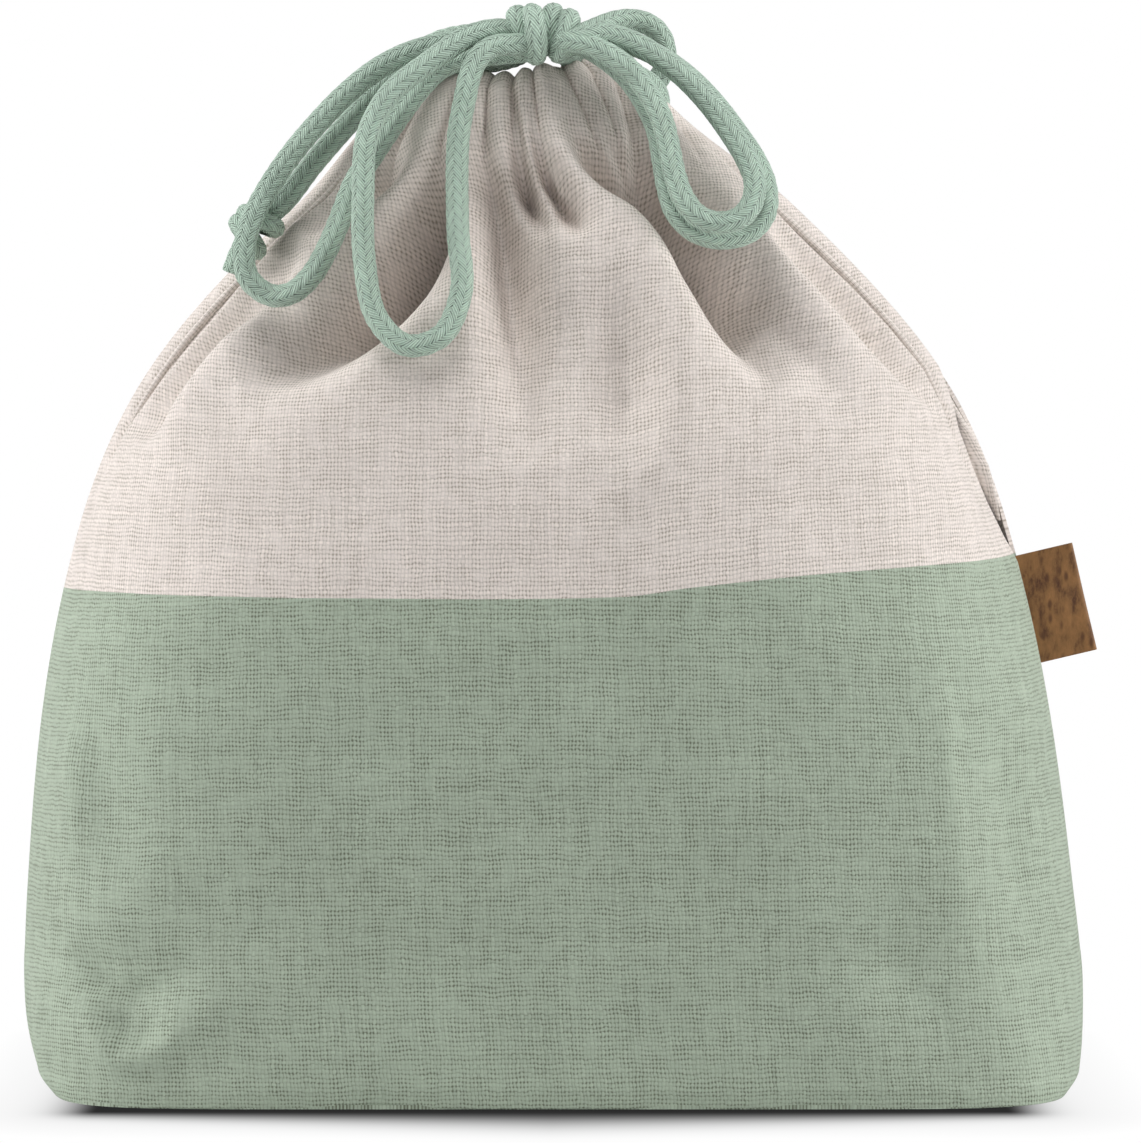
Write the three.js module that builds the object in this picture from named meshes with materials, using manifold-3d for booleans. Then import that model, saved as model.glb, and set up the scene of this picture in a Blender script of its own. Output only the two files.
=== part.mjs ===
// Drawstring bento bag: two-tone woven cloth, boxed base, drawn mouth tied in a bow.
// Millimetres, +Z up, the front of the bag faces -Y, origin at the middle of the base.
import * as THREE from "three";
import { mergeVertices } from "three/addons/utils/BufferGeometryUtils.js";
import Module from "manifold-3d";

const wasm = await Module();
wasm.setup();

// Base: the flat bottom that the bag stands on
const BASE_WIDTH = 212;
const BASE_DEPTH = 104;
// Belly: the fullest level of the filled bag
const BELLY_HEIGHT = 14;
const BELLY_WIDTH = 235;
const BELLY_DEPTH = 111;
// Colour seam: the lower cloth is sewn to the upper cloth
const SEAM_HEIGHT = 108;
const SEAM_WIDTH = 214;
const SEAM_DEPTH = 100;
const SEAM_LEAN = -2.5;
// Shoulder: the upper cloth turns in towards the mouth
const SHOULDER_HEIGHT = 160;
const SHOULDER_WIDTH = 171;
const SHOULDER_DEPTH = 78;
const SHOULDER_LEAN = -3;
// Mouth: the drawn top edge
const MOUTH_HEIGHT = 222;
const MOUTH_WIDTH = 50;
const MOUTH_DEPTH = 34;
const MOUTH_DROP = 6;
// Side slits between the front and the back upper cloth
const SLIT_START = 130;
const SLIT_HALF_GAP = 8;
const HEM_WIDTH = 5;
const HEM_THICKNESS = 2;
const HEM_GAP = 0.7;
// Cloth, folds and casing
const CLOTH = 1;
const GAP = 0.3;
const FOLDS = 9;
const FOLD_DEPTH = 4.5;
const FOLD_START = 140;
const CASING_HEIGHT = 18;
const CASING_PLAY = 0.5;
const CASING_RIPPLES = 6;
// Cord and bow knot
const CORD = 6;
const KNOT_X = -1.7;
const KNOT_TURN_RADIUS = 4.4;
const KNOT_PITCH = 4.05;
const KNOT_TILT = 0.1;
const KNOT_REST = 0.8;
const REST_GAP = 1;
// Side label, a strip folded double and caught in the right side seam
const LABEL_LENGTH = 24.5;
const LABEL_PROUD = 12.2;
const LABEL_THICKNESS = 1.6;
const LABEL_HEIGHT = 104;
const LABEL_CLEARANCE = 1.1;

const FRONT = -1;
const BACK = 1;
const LEFT = -1;
const RIGHT = 1;

const V = (x, y, z) => new THREE.Vector3(x, y, z);

// Cross-sections of the filled bag from base to mouth. A section is flat in the middle and
// closes towards the side seams: depth = (1 - |x / half width| ^ flat) ^ (1 / round).
const STATIONS = [
  { z: 0, width: BASE_WIDTH, depth: BASE_DEPTH, lean: 0, flat: 14, round: 5 },
  { z: BELLY_HEIGHT, width: BELLY_WIDTH, depth: BELLY_DEPTH, lean: 0, flat: 9, round: 2.6 },
  { z: SEAM_HEIGHT, width: SEAM_WIDTH, depth: SEAM_DEPTH, lean: SEAM_LEAN, flat: 5, round: 1.35 },
  {
    z: SHOULDER_HEIGHT,
    width: SHOULDER_WIDTH,
    depth: SHOULDER_DEPTH,
    lean: SHOULDER_LEAN,
    flat: 3,
    round: 1.3,
  },
  { z: MOUTH_HEIGHT, width: MOUTH_WIDTH, depth: MOUTH_DEPTH, lean: 0, flat: 2.4, round: 1.4 },
];

function stationIndex(z) {
  let i = 0;
  while (i < STATIONS.length - 2 && z > STATIONS[i + 1].z) {
    i += 1;
  }
  return i;
}

// Smooth curve through the stations, with the slope at each taken from its neighbours.
function smooth(z, key) {
  const i = stationIndex(z);
  const slope = (k) => {
    const a = STATIONS[Math.max(k - 1, 0)];
    const b = STATIONS[Math.min(k + 1, STATIONS.length - 1)];
    return (b[key] - a[key]) / (b.z - a.z);
  };
  const a = STATIONS[i];
  const b = STATIONS[i + 1];
  const h = b.z - a.z;
  const t = (z - a.z) / h;
  const t2 = t * t;
  const t3 = t2 * t;
  const fromA = (2 * t3 - 3 * t2 + 1) * a[key] + (t3 - 2 * t2 + t) * h * slope(i);
  const fromB = (3 * t2 - 2 * t3) * b[key] + (t3 - t2) * h * slope(i + 1);
  return fromA + fromB;
}

function straight(z, key) {
  const i = stationIndex(z);
  const t = (z - STATIONS[i].z) / (STATIONS[i + 1].z - STATIONS[i].z);
  return THREE.MathUtils.lerp(STATIONS[i][key], STATIONS[i + 1][key], Math.min(t, 1));
}

const casingFoot = (s) => MOUTH_HEIGHT - CASING_HEIGHT - MOUTH_DROP * s * s;
const casingTop = (s) => MOUTH_HEIGHT - MOUTH_DROP * s * s;

function slitHalfGap(z) {
  return SLIT_HALF_GAP * THREE.MathUtils.smoothstep(z, SLIT_START - 2, MOUTH_HEIGHT - CASING_HEIGHT);
}

function section(z) {
  return {
    halfWidth: smooth(z, "width") / 2,
    halfDepth: smooth(z, "depth") / 2,
    lean: smooth(z, "lean"),
    flat: straight(z, "flat"),
    round: straight(z, "round"),
    gap: slitHalfGap(z),
  };
}

// Point on the cloth at the height z, where s runs from -1 at the left side seam to 1 at the
// right one in equal steps along the cloth.
function wall(side, s, z) {
  const k = section(z);
  const steps = 64;
  const path = [];
  const length = [0];
  for (let i = 0; i <= steps; i += 1) {
    const angle = (i / steps) * (Math.PI / 2);
    const x = k.halfWidth * Math.sin(angle) ** (2 / k.flat);
    const y = k.gap + (k.halfDepth - k.gap) * Math.abs(Math.cos(angle)) ** (2 / k.round);
    path.push([x, i === steps ? k.gap : y]);
    if (i > 0) {
      length.push(length[i - 1] + Math.hypot(x - path[i - 1][0], path[i][1] - path[i - 1][1]));
    }
  }
  const target = Math.min(Math.abs(s), 1) * length[steps];
  let i = 1;
  while (i < steps && length[i] < target) {
    i += 1;
  }
  const t = (target - length[i - 1]) / (length[i] - length[i - 1]);
  const x = THREE.MathUtils.lerp(path[i - 1][0], path[i][0], t);
  const y = THREE.MathUtils.lerp(path[i - 1][1], path[i][1], t);
  return V(k.lean + Math.sign(s) * x, side * y, z);
}

// Half the length of cloth across the panel at the height z
function halfGirth(z) {
  let girth = 0;
  let last = wall(FRONT, 0, z);
  for (let i = 1; i <= 16; i += 1) {
    const next = wall(FRONT, i / 16, z);
    girth += next.distanceTo(last);
    last = next;
  }
  return girth;
}

// How far forward the front cloth stands at x and z
function frontOf(x, z) {
  const k = section(Math.min(z, MOUTH_HEIGHT));
  const across = Math.min(Math.abs(x - k.lean) / k.halfWidth, 1);
  return -(k.gap + (k.halfDepth - k.gap) * (1 - across ** k.flat) ** (1 / k.round));
}

function outward(side, s, z) {
  const step = 0.02;
  const across = wall(side, Math.min(s + step, 1), z).sub(wall(side, Math.max(s - step, -1), z));
  const up = wall(side, s, Math.min(z + 2, MOUTH_HEIGHT)).sub(wall(side, s, z - 2));
  return across.cross(up).multiplyScalar(-side).normalize();
}

// Closed solid of a cloth sheet, whose middle surface is point(u, v)
function sheet(point, across, along, thickness) {
  const columns = across + 1;
  const rows = along + 1;
  const grid = [];
  for (let j = 0; j < rows; j += 1) {
    for (let i = 0; i < columns; i += 1) {
      grid.push(point(i / across, j / along));
    }
  }
  const at = (i, j) => grid[Math.min(Math.max(j, 0), along) * columns + Math.min(Math.max(i, 0), across)];
  const outer = [];
  const inner = [];
  for (let j = 0; j < rows; j += 1) {
    for (let i = 0; i < columns; i += 1) {
      const du = at(i + 1, j).clone().sub(at(i - 1, j));
      const dv = at(i, j + 1).clone().sub(at(i, j - 1));
      const normal = du.cross(dv).setLength(thickness / 2);
      outer.push(at(i, j).clone().add(normal));
      inner.push(at(i, j).clone().sub(normal));
    }
  }
  const o = (i, j) => j * columns + i;
  const n = (i, j) => rows * columns + j * columns + i;
  const index = [];
  const quad = (a, b, c, d) => index.push(a, b, c, a, c, d);
  for (let j = 0; j < along; j += 1) {
    for (let i = 0; i < across; i += 1) {
      quad(o(i, j), o(i + 1, j), o(i + 1, j + 1), o(i, j + 1));
      quad(n(i, j), n(i, j + 1), n(i + 1, j + 1), n(i + 1, j));
    }
    quad(n(0, j), o(0, j), o(0, j + 1), n(0, j + 1));
    quad(o(across, j), n(across, j), n(across, j + 1), o(across, j + 1));
  }
  for (let i = 0; i < across; i += 1) {
    quad(n(i, 0), n(i + 1, 0), o(i + 1, 0), o(i, 0));
    quad(o(i, along), o(i + 1, along), n(i + 1, along), n(i, along));
  }
  return meshGeometry([...outer, ...inner], index);
}

// Closed solid of a cloth tunnel between an outer skin and a bore, open at both ends
function tunnel(skin, bore, around, along) {
  const points = [];
  for (const surface of [skin, bore]) {
    for (let j = 0; j <= along; j += 1) {
      for (let i = 0; i < around; i += 1) {
        points.push(surface((i / around) * 2 * Math.PI, j / along));
      }
    }
  }
  const o = (i, j) => j * around + (i % around);
  const n = (i, j) => (along + 1) * around + j * around + (i % around);
  const index = [];
  const quad = (a, b, c, d) => index.push(a, b, c, a, c, d);
  for (let i = 0; i < around; i += 1) {
    for (let j = 0; j < along; j += 1) {
      quad(o(i, j), o(i + 1, j), o(i + 1, j + 1), o(i, j + 1));
      quad(n(i, j), n(i, j + 1), n(i + 1, j + 1), n(i + 1, j));
    }
    quad(o(i, 0), n(i, 0), n(i + 1, 0), o(i + 1, 0));
    quad(o(i, along), o(i + 1, along), n(i + 1, along), n(i, along));
  }
  return meshGeometry(points, index);
}

function meshGeometry(points, index) {
  const geometry = new THREE.BufferGeometry().setFromPoints(points);
  let volume = 0;
  for (let i = 0; i < index.length; i += 3) {
    const [a, b, c] = [points[index[i]], points[index[i + 1]], points[index[i + 2]]];
    volume += a.dot(b.clone().cross(c));
  }
  geometry.setIndex(volume > 0 ? index : index.reverse());
  return geometry;
}

function toSolid(geometry) {
  const bare = geometry.clone();
  bare.deleteAttribute("normal");
  bare.deleteAttribute("uv");
  const merged = mergeVertices(bare, 1e-4);
  return new wasm.Manifold(
    new wasm.Mesh({
      numProp: 3,
      vertProperties: new Float32Array(merged.attributes.position.array),
      triVerts: new Uint32Array(merged.index.array),
    }),
  );
}

function fromSolid(solid) {
  const mesh = solid.getMesh();
  const geometry = new THREE.BufferGeometry();
  geometry.setAttribute("position", new THREE.BufferAttribute(mesh.vertProperties, 3));
  geometry.setIndex(new THREE.BufferAttribute(mesh.triVerts, 1));
  return geometry;
}

const join = (...pieces) => fromSolid(pieces.map(toSolid).reduce((a, b) => a.add(b)));

// Keeps only what lies on one side of the plane through the two side seams
function keepSide(geometry, side) {
  const size = 2 * (BELLY_WIDTH + MOUTH_HEIGHT);
  const half = new THREE.BoxGeometry(size, size, size);
  half.translate(0, side * (size / 2 + GAP / 2), 0);
  return fromSolid(toSolid(geometry).intersect(toSolid(half)));
}

function roundShape(radius, sides) {
  const points = [];
  for (let i = 0; i < sides; i += 1) {
    const angle = (i / sides) * 2 * Math.PI;
    points.push(new THREE.Vector2(radius * Math.cos(angle), radius * Math.sin(angle)));
  }
  return new THREE.Shape(points);
}

function cordTube(points, steps) {
  const route = new THREE.CatmullRomCurve3(points, false, "centripetal");
  return new THREE.ExtrudeGeometry(roundShape(CORD / 2, 8), {
    steps,
    extrudePath: route,
    bevelEnabled: false,
  });
}

const bag = new THREE.Group();

function add(name, geometry, colour, roughness) {
  const material = new THREE.MeshStandardMaterial({ color: colour, roughness, metalness: 0 });
  const mesh = new THREE.Mesh(geometry, material);
  mesh.name = name;
  bag.add(mesh);
  return mesh;
}

const SAGE_CLOTH = "#9ba797";
const NATURAL_CLOTH = "#d0c8c3";
const CORD_GREEN = "#a1afa5";
const CORK_BROWN = "#8a6a4a";

// Base panel, cut to the outline of the lowest section
const baseOutline = [];
for (let i = 0; i <= 24; i += 1) {
  const p = wall(FRONT, -1 + i / 12, 0);
  baseOutline.push(new THREE.Vector2(p.x, p.y));
}
for (let i = 1; i < 24; i += 1) {
  const p = wall(BACK, 1 - i / 12, 0);
  baseOutline.push(new THREE.Vector2(p.x, p.y));
}
const baseGeometry = new THREE.ExtrudeGeometry(new THREE.Shape(baseOutline), {
  depth: CLOTH,
  bevelEnabled: false,
});
add("base_panel", baseGeometry, SAGE_CLOTH, 0.95);

// Lower panels, from the base edge to the colour seam
const lowerFoot = CLOTH + GAP;
const lowerHead = SEAM_HEIGHT - GAP / 2;
for (const [name, side] of [["front_lower_panel", FRONT], ["back_lower_panel", BACK]]) {
  const panel = sheet(
    (u, v) => wall(side, 2 * u - 1, THREE.MathUtils.lerp(lowerFoot, lowerHead, v ** 1.7)),
    30,
    9,
    CLOTH,
  );
  add(name, keepSide(panel, side), SAGE_CLOTH, 0.95);
}

// Share of the half girth that the slit hem takes at the height z
function hemShare(z) {
  const width = HEM_WIDTH * THREE.MathUtils.smoothstep(z, SLIT_START - 8, SLIT_START + 3);
  return width / halfGirth(z);
}

// Upper panels, drawn into gathers that deepen towards the casing
const upperFoot = SEAM_HEIGHT + GAP / 2;
const UPPER_ROWS = 7;
const upperLevel = (s, v) => THREE.MathUtils.lerp(upperFoot, casingFoot(s) - GAP, v);
for (const [name, side] of [["front_upper_panel", FRONT], ["back_upper_panel", BACK]]) {
  const panel = sheet(
    (u, v) => {
      const z = upperLevel(2 * u - 1, v);
      const s = (2 * u - 1) * (1 - hemShare(z));
      const depth = FOLD_DEPTH * THREE.MathUtils.smoothstep(z, FOLD_START, casingFoot(0));
      const fold = depth * (0.5 - 0.5 * Math.cos(2 * Math.PI * FOLDS * u));
      return wall(side, s, z).addScaledVector(outward(side, s, z), -fold);
    },
    FOLDS * 6,
    UPPER_ROWS,
    CLOTH,
  );
  add(name, keepSide(panel, side), NATURAL_CLOTH, 0.95);
}

// Slit hems, the folded edges of the upper panels beside the slits, in step with their rows
const firstHemRow = Math.ceil((UPPER_ROWS * (SLIT_START - upperFoot)) / (casingFoot(1) - upperFoot));
const hemRows = UPPER_ROWS - firstHemRow;
const HEMS = [
  ["left_front_slit_hem", FRONT, LEFT],
  ["right_front_slit_hem", FRONT, RIGHT],
  ["left_back_slit_hem", BACK, LEFT],
  ["right_back_slit_hem", BACK, RIGHT],
];
for (const [name, side, hand] of HEMS) {
  const hem = sheet(
    (u, v) => {
      const z = upperLevel(1, (firstHemRow + hemRows * v) / UPPER_ROWS);
      const share = hemShare(z);
      const gapShare = HEM_GAP / halfGirth(z);
      const s = THREE.MathUtils.lerp(1 - share + gapShare, 1, u);
      return wall(side, hand * s, z);
    },
    1,
    hemRows,
    HEM_THICKNESS,
  );
  add(name, keepSide(hem, side), NATURAL_CLOTH, 0.95);
}

// Casing frame at s: middle of the tunnel, direction up the slope, direction out, half height
const casingDepth = CORD + 2 * CASING_PLAY + 2 * CLOTH;
function casingFrame(side, s) {
  const foot = wall(side, s, casingFoot(s));
  const top = wall(side, s, casingTop(s));
  const up = top.clone().sub(foot);
  const halfHeight = up.length() / 2;
  up.normalize();
  const out = outward(side, s, (casingFoot(s) + casingTop(s)) / 2);
  out.addScaledVector(up, -out.dot(up)).normalize();
  const middle = foot.add(top).multiplyScalar(0.5).addScaledVector(out, -casingDepth / 2);
  return { middle, up, out, halfHeight };
}

function casingSkin(side, inset) {
  return (angle, v) => {
    const s = 2 * v - 1;
    const k = casingFrame(side, s);
    const cos = Math.cos(angle);
    const sin = Math.sin(angle);
    const rise = (k.halfHeight - inset) * Math.sign(cos) * Math.abs(cos) ** 0.6;
    const ripple = inset === 0 ? 0.6 * (1 - Math.cos(2 * Math.PI * CASING_RIPPLES * v)) : 0;
    const swell = (casingDepth / 2 - inset) * Math.sign(sin) * Math.abs(sin) ** 0.8;
    const depth = sin > 0 ? swell + ripple * sin : swell;
    return k.middle.addScaledVector(k.up, rise).addScaledVector(k.out, depth);
  };
}

for (const [name, side] of [["front_casing", FRONT], ["back_casing", BACK]]) {
  const casing = tunnel(casingSkin(side, 0), casingSkin(side, CLOTH), 12, 4 * CASING_RIPPLES);
  add(name, keepSide(casing, side), NATURAL_CLOTH, 0.95);
}

// Each drawcord has its own lane in the casings, one above the other
const LANE_SHARE = 0.44;
function lane(side, s, level) {
  const k = casingFrame(side, s);
  return k.middle.addScaledVector(k.up, level * LANE_SHARE * k.halfHeight);
}
function laneRun(side, hand, level) {
  const run = [];
  for (let i = 0; i <= 8; i += 1) {
    run.push(lane(side, hand * (i / 4 - 1), level));
  }
  return run;
}

const knot = V(
  KNOT_X,
  -(MOUTH_DEPTH / 2 + 5),
  MOUTH_HEIGHT + KNOT_TURN_RADIUS + CORD / 2 + KNOT_REST,
);
const from = (origin, list) => list.map(([x, y, z]) => V(origin.x + x, origin.y + y, origin.z + z));

// Left drawcord: upper lane. Both ends leave at the left slit and rise to the back of the knot.
const UPPER = 1;
const LOWER = -1;
const leftFrontExit = lane(FRONT, -1, UPPER);
const leftBackExit = lane(BACK, -1, UPPER);
const leftDrawcord = [
  ...from(knot, [
    [-4.3, 7.8, -3.2],
    [-4.5, 13, -3.2],
    [-10.5, 18.5, -1],
    [-20, 19.5, 0],
    [-28, 20, -4],
  ]),
  ...from(leftFrontExit, [
    [-1.5, 4.5, 6.5],
    [-0.5, 3, 1],
  ]),
  ...laneRun(FRONT, 1, UPPER),
  ...laneRun(BACK, -1, UPPER),
  ...from(leftBackExit, [
    [-0.5, -3, 1],
    [-1.5, -4.5, 6.5],
    [-2, -4, 13.5],
  ]),
  ...from(knot, [
    [-26.5, 25, 1.8],
    [-16.5, 22, 5.8],
    [-7.5, 17, 5.8],
    [-3.8, 12, 3.6],
    [-3.8, 7.8, 3.4],
  ]),
];
add("left_drawcord", cordTube(leftDrawcord, 64), CORD_GREEN, 0.9);

// Right drawcord: lower lane. Both ends leave at the right slit, pass outside the other cord
// and rise to the back of the knot.
const rightFrontExit = lane(FRONT, 1, LOWER);
const rightBackExit = lane(BACK, 1, LOWER);
const rightDrawcord = [
  ...from(knot, [
    [4.2, 7.8, -3.2],
    [4.6, 12.5, -3.2],
    [9, 15.5, -2],
    [17, 17, -0.6],
    [28, 17.5, -3],
  ]),
  ...from(rightFrontExit, [
    [-3.5, 3.5, 16],
    [1.5, 4.5, 8.5],
    [0.2, 3.2, 0.2],
  ]),
  ...laneRun(FRONT, -1, LOWER),
  ...laneRun(BACK, 1, LOWER),
  ...from(rightBackExit, [
    [0.2, -3.2, 0.2],
    [1.5, -4.5, 8.5],
    [-2.5, -4, 15.5],
  ]),
  ...from(knot, [
    [29, 25.5, -1.5],
    [20.5, 22, 4],
    [11.5, 17, 5.5],
    [4.4, 12, 3.8],
    [3.8, 7.8, 3.4],
  ]),
];
add("right_drawcord", cordTube(rightDrawcord, 68), CORD_GREEN, 0.9);

// Bow knot: three turns of cord drawn tight round the crossing strands
const knotTurns = [-1, 0, 1].map((turn) => {
  const ring = new THREE.TorusGeometry(KNOT_TURN_RADIUS, CORD / 2, 8, 18);
  ring.rotateY(Math.PI / 2);
  ring.rotateZ(KNOT_TILT * turn);
  ring.translate(turn * KNOT_PITCH, 0, 0);
  return ring;
});
const knotCore = new THREE.CylinderGeometry(KNOT_TURN_RADIUS, KNOT_TURN_RADIUS, 2 * KNOT_PITCH + 4, 16);
knotCore.rotateZ(Math.PI / 2);
const knotGeometry = join(knotCore, ...knotTurns);
knotGeometry.translate(knot.x, knot.y, knot.z);
add("bow_knot", knotGeometry, CORD_GREEN, 0.9);
const knotHalf = KNOT_PITCH + CORD / 2 + KNOT_TILT * (KNOT_TURN_RADIUS + CORD / 2) + 2 * GAP;

// A free strand that meets the front cloth lies on it
function layOnCloth(points, lift) {
  return points.map((p) => {
    const rest = frontOf(p.x, p.z) - CORD / 2 - CLOTH / 2 - lift;
    return V(p.x, p.z < MOUTH_HEIGHT - CASING_HEIGHT / 2 ? Math.min(p.y, rest) : p.y, p.z);
  });
}

// Front-left loop of the bow
const leftBowLoop = from(knot, [
  [-knotHalf, -4.5, -6.4],
  [-14.8, -6.5, -9.5],
  [-17.6, -8, -15],
  [-19, -9, -28],
  [-18.6, -12.5, -43.5],
  [-17.8, -17, -57],
  [-22, -20, -66.4],
  [-29.3, -20, -68.4],
  [-35.8, -17.5, -62.5],
  [-38.6, -14, -50.3],
  [-38.9, -13.5, -35],
  [-38, -11.8, -23.6],
  [-33.8, -9, -14.1],
  [-25.9, -7, -7.8],
  [-17, -5.2, -2.2],
  [-knotHalf, -4.5, 0.2],
]);
add("left_bow_loop", cordTube(layOnCloth(leftBowLoop, REST_GAP), 34), CORD_GREEN, 0.9);

// Left tail loop, which swings out past the shoulder and hangs beside the slit
const TAIL_BALL = 4.4;
const knotFace = KNOT_PITCH + CORD / 2;
const tailRoot = V(knot.x - knotFace - TAIL_BALL + GAP, knot.y + 5.5, knot.z - 1);
const leftTailLoop = [
  ...from(tailRoot, [[-1, 0, 3.2]]),
  ...from(knot, [
    [-21, 5, 0.6],
    [-31.4, 4, -3],
    [-38.6, 4, -7.8],
    [-46, 3, -14.8],
    [-51.9, 2, -21.7],
    [-57.2, -2, -29.6],
    [-61.8, -5, -37.1],
    [-64.4, -6.3, -42.6],
    [-65.4, -6.8, -48.3],
    [-64.3, -6.5, -53.5],
    [-59.5, -6.6, -57.2],
    [-54.8, -7, -56.9],
    [-50.6, -7.5, -53.4],
    [-47.5, -6.6, -48.2],
    [-45, -5, -42],
    [-42, -4, -32.3],
    [-38.8, -3, -25.7],
    [-34.1, -1, -19.9],
    [-28.9, 1, -12.8],
    [-22.9, 3.5, -7],
  ]),
  ...from(tailRoot, [[-1, 0, -3.2]]),
];
const tailBall = new THREE.SphereGeometry(TAIL_BALL, 12, 8);
tailBall.translate(tailRoot.x, tailRoot.y, tailRoot.z);
const tailTube = cordTube(layOnCloth(leftTailLoop, REST_GAP), 40);
add("left_tail_loop", join(tailTube, tailBall), CORD_GREEN, 0.9);

// Left tail strand, which runs behind the loop to the end knot
const leftTailStrand = from(knot, [
  [-15.2, 11.2, -1.6],
  [-25.3, 10.8, -5],
  [-39.8, 10, -13.4],
  [-46.4, 8.8, -21.6],
  [-52.2, 6.8, -28.3],
  [-58.6, 4.8, -36.2],
]);
add("left_tail_strand", cordTube(leftTailStrand, 12), CORD_GREEN, 0.9);

// End knot: two turns of the strand about itself, with the cut end sticking out below
const endKnotParts = [-1, 1].map((turn) => {
  const ring = new THREE.TorusGeometry(3.4, CORD / 2 - 0.4, 8, 12);
  ring.rotateY(Math.PI / 2);
  ring.rotateZ(0.25 * turn);
  ring.translate(2 * turn, 0, 0);
  return ring;
});
const endKnotCore = new THREE.CylinderGeometry(3.6, 3.6, 9.6, 12);
endKnotCore.rotateZ(Math.PI / 2);
const cutEnd = new THREE.CylinderGeometry(CORD / 2 - 0.3, CORD / 2 - 0.3, 7, 8);
cutEnd.rotateZ(Math.PI / 2 - 0.3);
cutEnd.translate(7, 1, 0.6);
const endKnotGeometry = join(endKnotCore, ...endKnotParts, cutEnd);
endKnotGeometry.rotateY(THREE.MathUtils.degToRad(129));
endKnotGeometry.translate(knot.x - 63.6, knot.y + 3.6, knot.z - 42.4);
add("left_end_knot", endKnotGeometry, CORD_GREEN, 0.9);

// Right loops of the bow, one lying in front of the other
const rightFrontLoop = from(knot, [
  [knotHalf, -5.7, 1.5],
  [16.3, -5, 0.6],
  [22.8, -5, -3],
  [29.3, -5.2, -7.6],
  [35.1, -6.5, -14],
  [39.5, -9, -22.3],
  [41.8, -11, -31],
  [40.8, -13, -38.2],
  [35.9, -14.5, -42.2],
  [31, -14.6, -39.7],
  [28.1, -13, -33.2],
  [26.2, -11.5, -26.1],
  [24, -10, -19.2],
  [20.2, -8, -12.5],
  [14.6, -6.4, -7.4],
  [knotHalf, -5.7, -4.9],
]);
const rightFrontLift = REST_GAP + CORD + 0.6;
add("right_front_loop", cordTube(layOnCloth(rightFrontLoop, rightFrontLift), 32), CORD_GREEN, 0.9);

const rightBackLoop = from(knot, [
  [knotHalf, 0.7, 1.5],
  [17.5, 2, 0.9],
  [25.1, 2.4, -1.8],
  [32.5, 2.4, -7.1],
  [39, 1.5, -14.1],
  [43.7, -0.5, -23],
  [46.5, -3, -31],
  [46, -5, -39],
  [41.1, -7.1, -44.5],
  [34.4, -9.5, -44.6],
  [29.2, -8.9, -40.3],
  [26.2, -6.5, -32.8],
  [24.4, -4, -25.1],
  [22, -2, -18],
  [17.5, -0.4, -11.5],
  [12.5, 0.5, -6.8],
  [knotHalf, 0.7, -4.9],
]);
add("right_back_loop", cordTube(layOnCloth(rightBackLoop, REST_GAP), 32), CORD_GREEN, 0.9);

// Side label: a strip folded double, its rounded root edge lying along the right side seam
const seamAt = (z) => wall(FRONT, 1, z).setY(0);
const labelFoot = seamAt(LABEL_HEIGHT - LABEL_LENGTH / 2);
const labelHead = seamAt(LABEL_HEIGHT + LABEL_LENGTH / 2);
const labelUp = labelHead.clone().sub(labelFoot).normalize();
const labelOut = V(labelUp.z, 0, -labelUp.x);
const labelShape = new THREE.Shape();
const half = LABEL_THICKNESS / 2;
labelShape.moveTo(0, -half);
labelShape.lineTo(LABEL_PROUD - half, -half);
labelShape.absarc(LABEL_PROUD - half, 0, half, -Math.PI / 2, Math.PI / 2, false);
labelShape.lineTo(0, half);
labelShape.absarc(0, 0, half, Math.PI / 2, Math.PI * 1.5, false);
const labelGeometry = new THREE.ExtrudeGeometry(labelShape, {
  depth: LABEL_LENGTH,
  bevelEnabled: false,
  curveSegments: 5,
});
const label = add("side_label", labelGeometry, CORK_BROWN, 0.8);
label.position.copy(labelFoot).addScaledVector(labelOut, CLOTH / 2 + LABEL_CLEARANCE);
const labelSide = labelUp.clone().cross(labelOut);
label.setRotationFromMatrix(new THREE.Matrix4().makeBasis(labelOut, labelSide, labelUp));

export default bag;
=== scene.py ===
"""Drawstring bento bag: woven cloth in two colours, a gathered mouth and a bow of braided cord."""
import math

import bpy
import numpy as np
from bpy.props import FloatProperty, FloatVectorProperty, PointerProperty
from bpy.types import Operator, Panel, PropertyGroup
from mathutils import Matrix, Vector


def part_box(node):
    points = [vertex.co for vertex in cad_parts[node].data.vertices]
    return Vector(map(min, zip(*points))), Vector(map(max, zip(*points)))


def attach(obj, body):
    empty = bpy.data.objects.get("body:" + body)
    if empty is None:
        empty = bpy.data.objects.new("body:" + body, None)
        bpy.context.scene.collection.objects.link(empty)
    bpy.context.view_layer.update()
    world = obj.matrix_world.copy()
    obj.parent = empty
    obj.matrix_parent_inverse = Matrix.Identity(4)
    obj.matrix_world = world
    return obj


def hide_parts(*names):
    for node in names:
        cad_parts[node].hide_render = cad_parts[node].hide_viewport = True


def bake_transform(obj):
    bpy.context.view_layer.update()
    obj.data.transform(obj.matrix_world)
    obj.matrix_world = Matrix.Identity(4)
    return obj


bl_info = {
    "name": "Drawstring bento bag",
    "version": (1, 0, 0),
    "blender": (4, 5, 0),
    "location": "View3D > Sidebar > Bento bag",
    "description": "Builds the cloth, the cords, the label and the stage of a drawstring bento bag",
    "category": "Add Mesh",
}

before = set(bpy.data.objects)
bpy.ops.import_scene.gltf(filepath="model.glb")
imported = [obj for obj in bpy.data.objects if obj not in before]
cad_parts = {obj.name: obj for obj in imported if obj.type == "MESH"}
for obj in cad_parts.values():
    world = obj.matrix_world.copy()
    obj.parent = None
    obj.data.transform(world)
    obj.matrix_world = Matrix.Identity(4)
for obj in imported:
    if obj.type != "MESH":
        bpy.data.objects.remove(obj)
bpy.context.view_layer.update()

MM = 0.001
FRONT = -1
BACK = 1
LEFT = -1
RIGHT = 1
UPPER = 1
LOWER = -1

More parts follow.
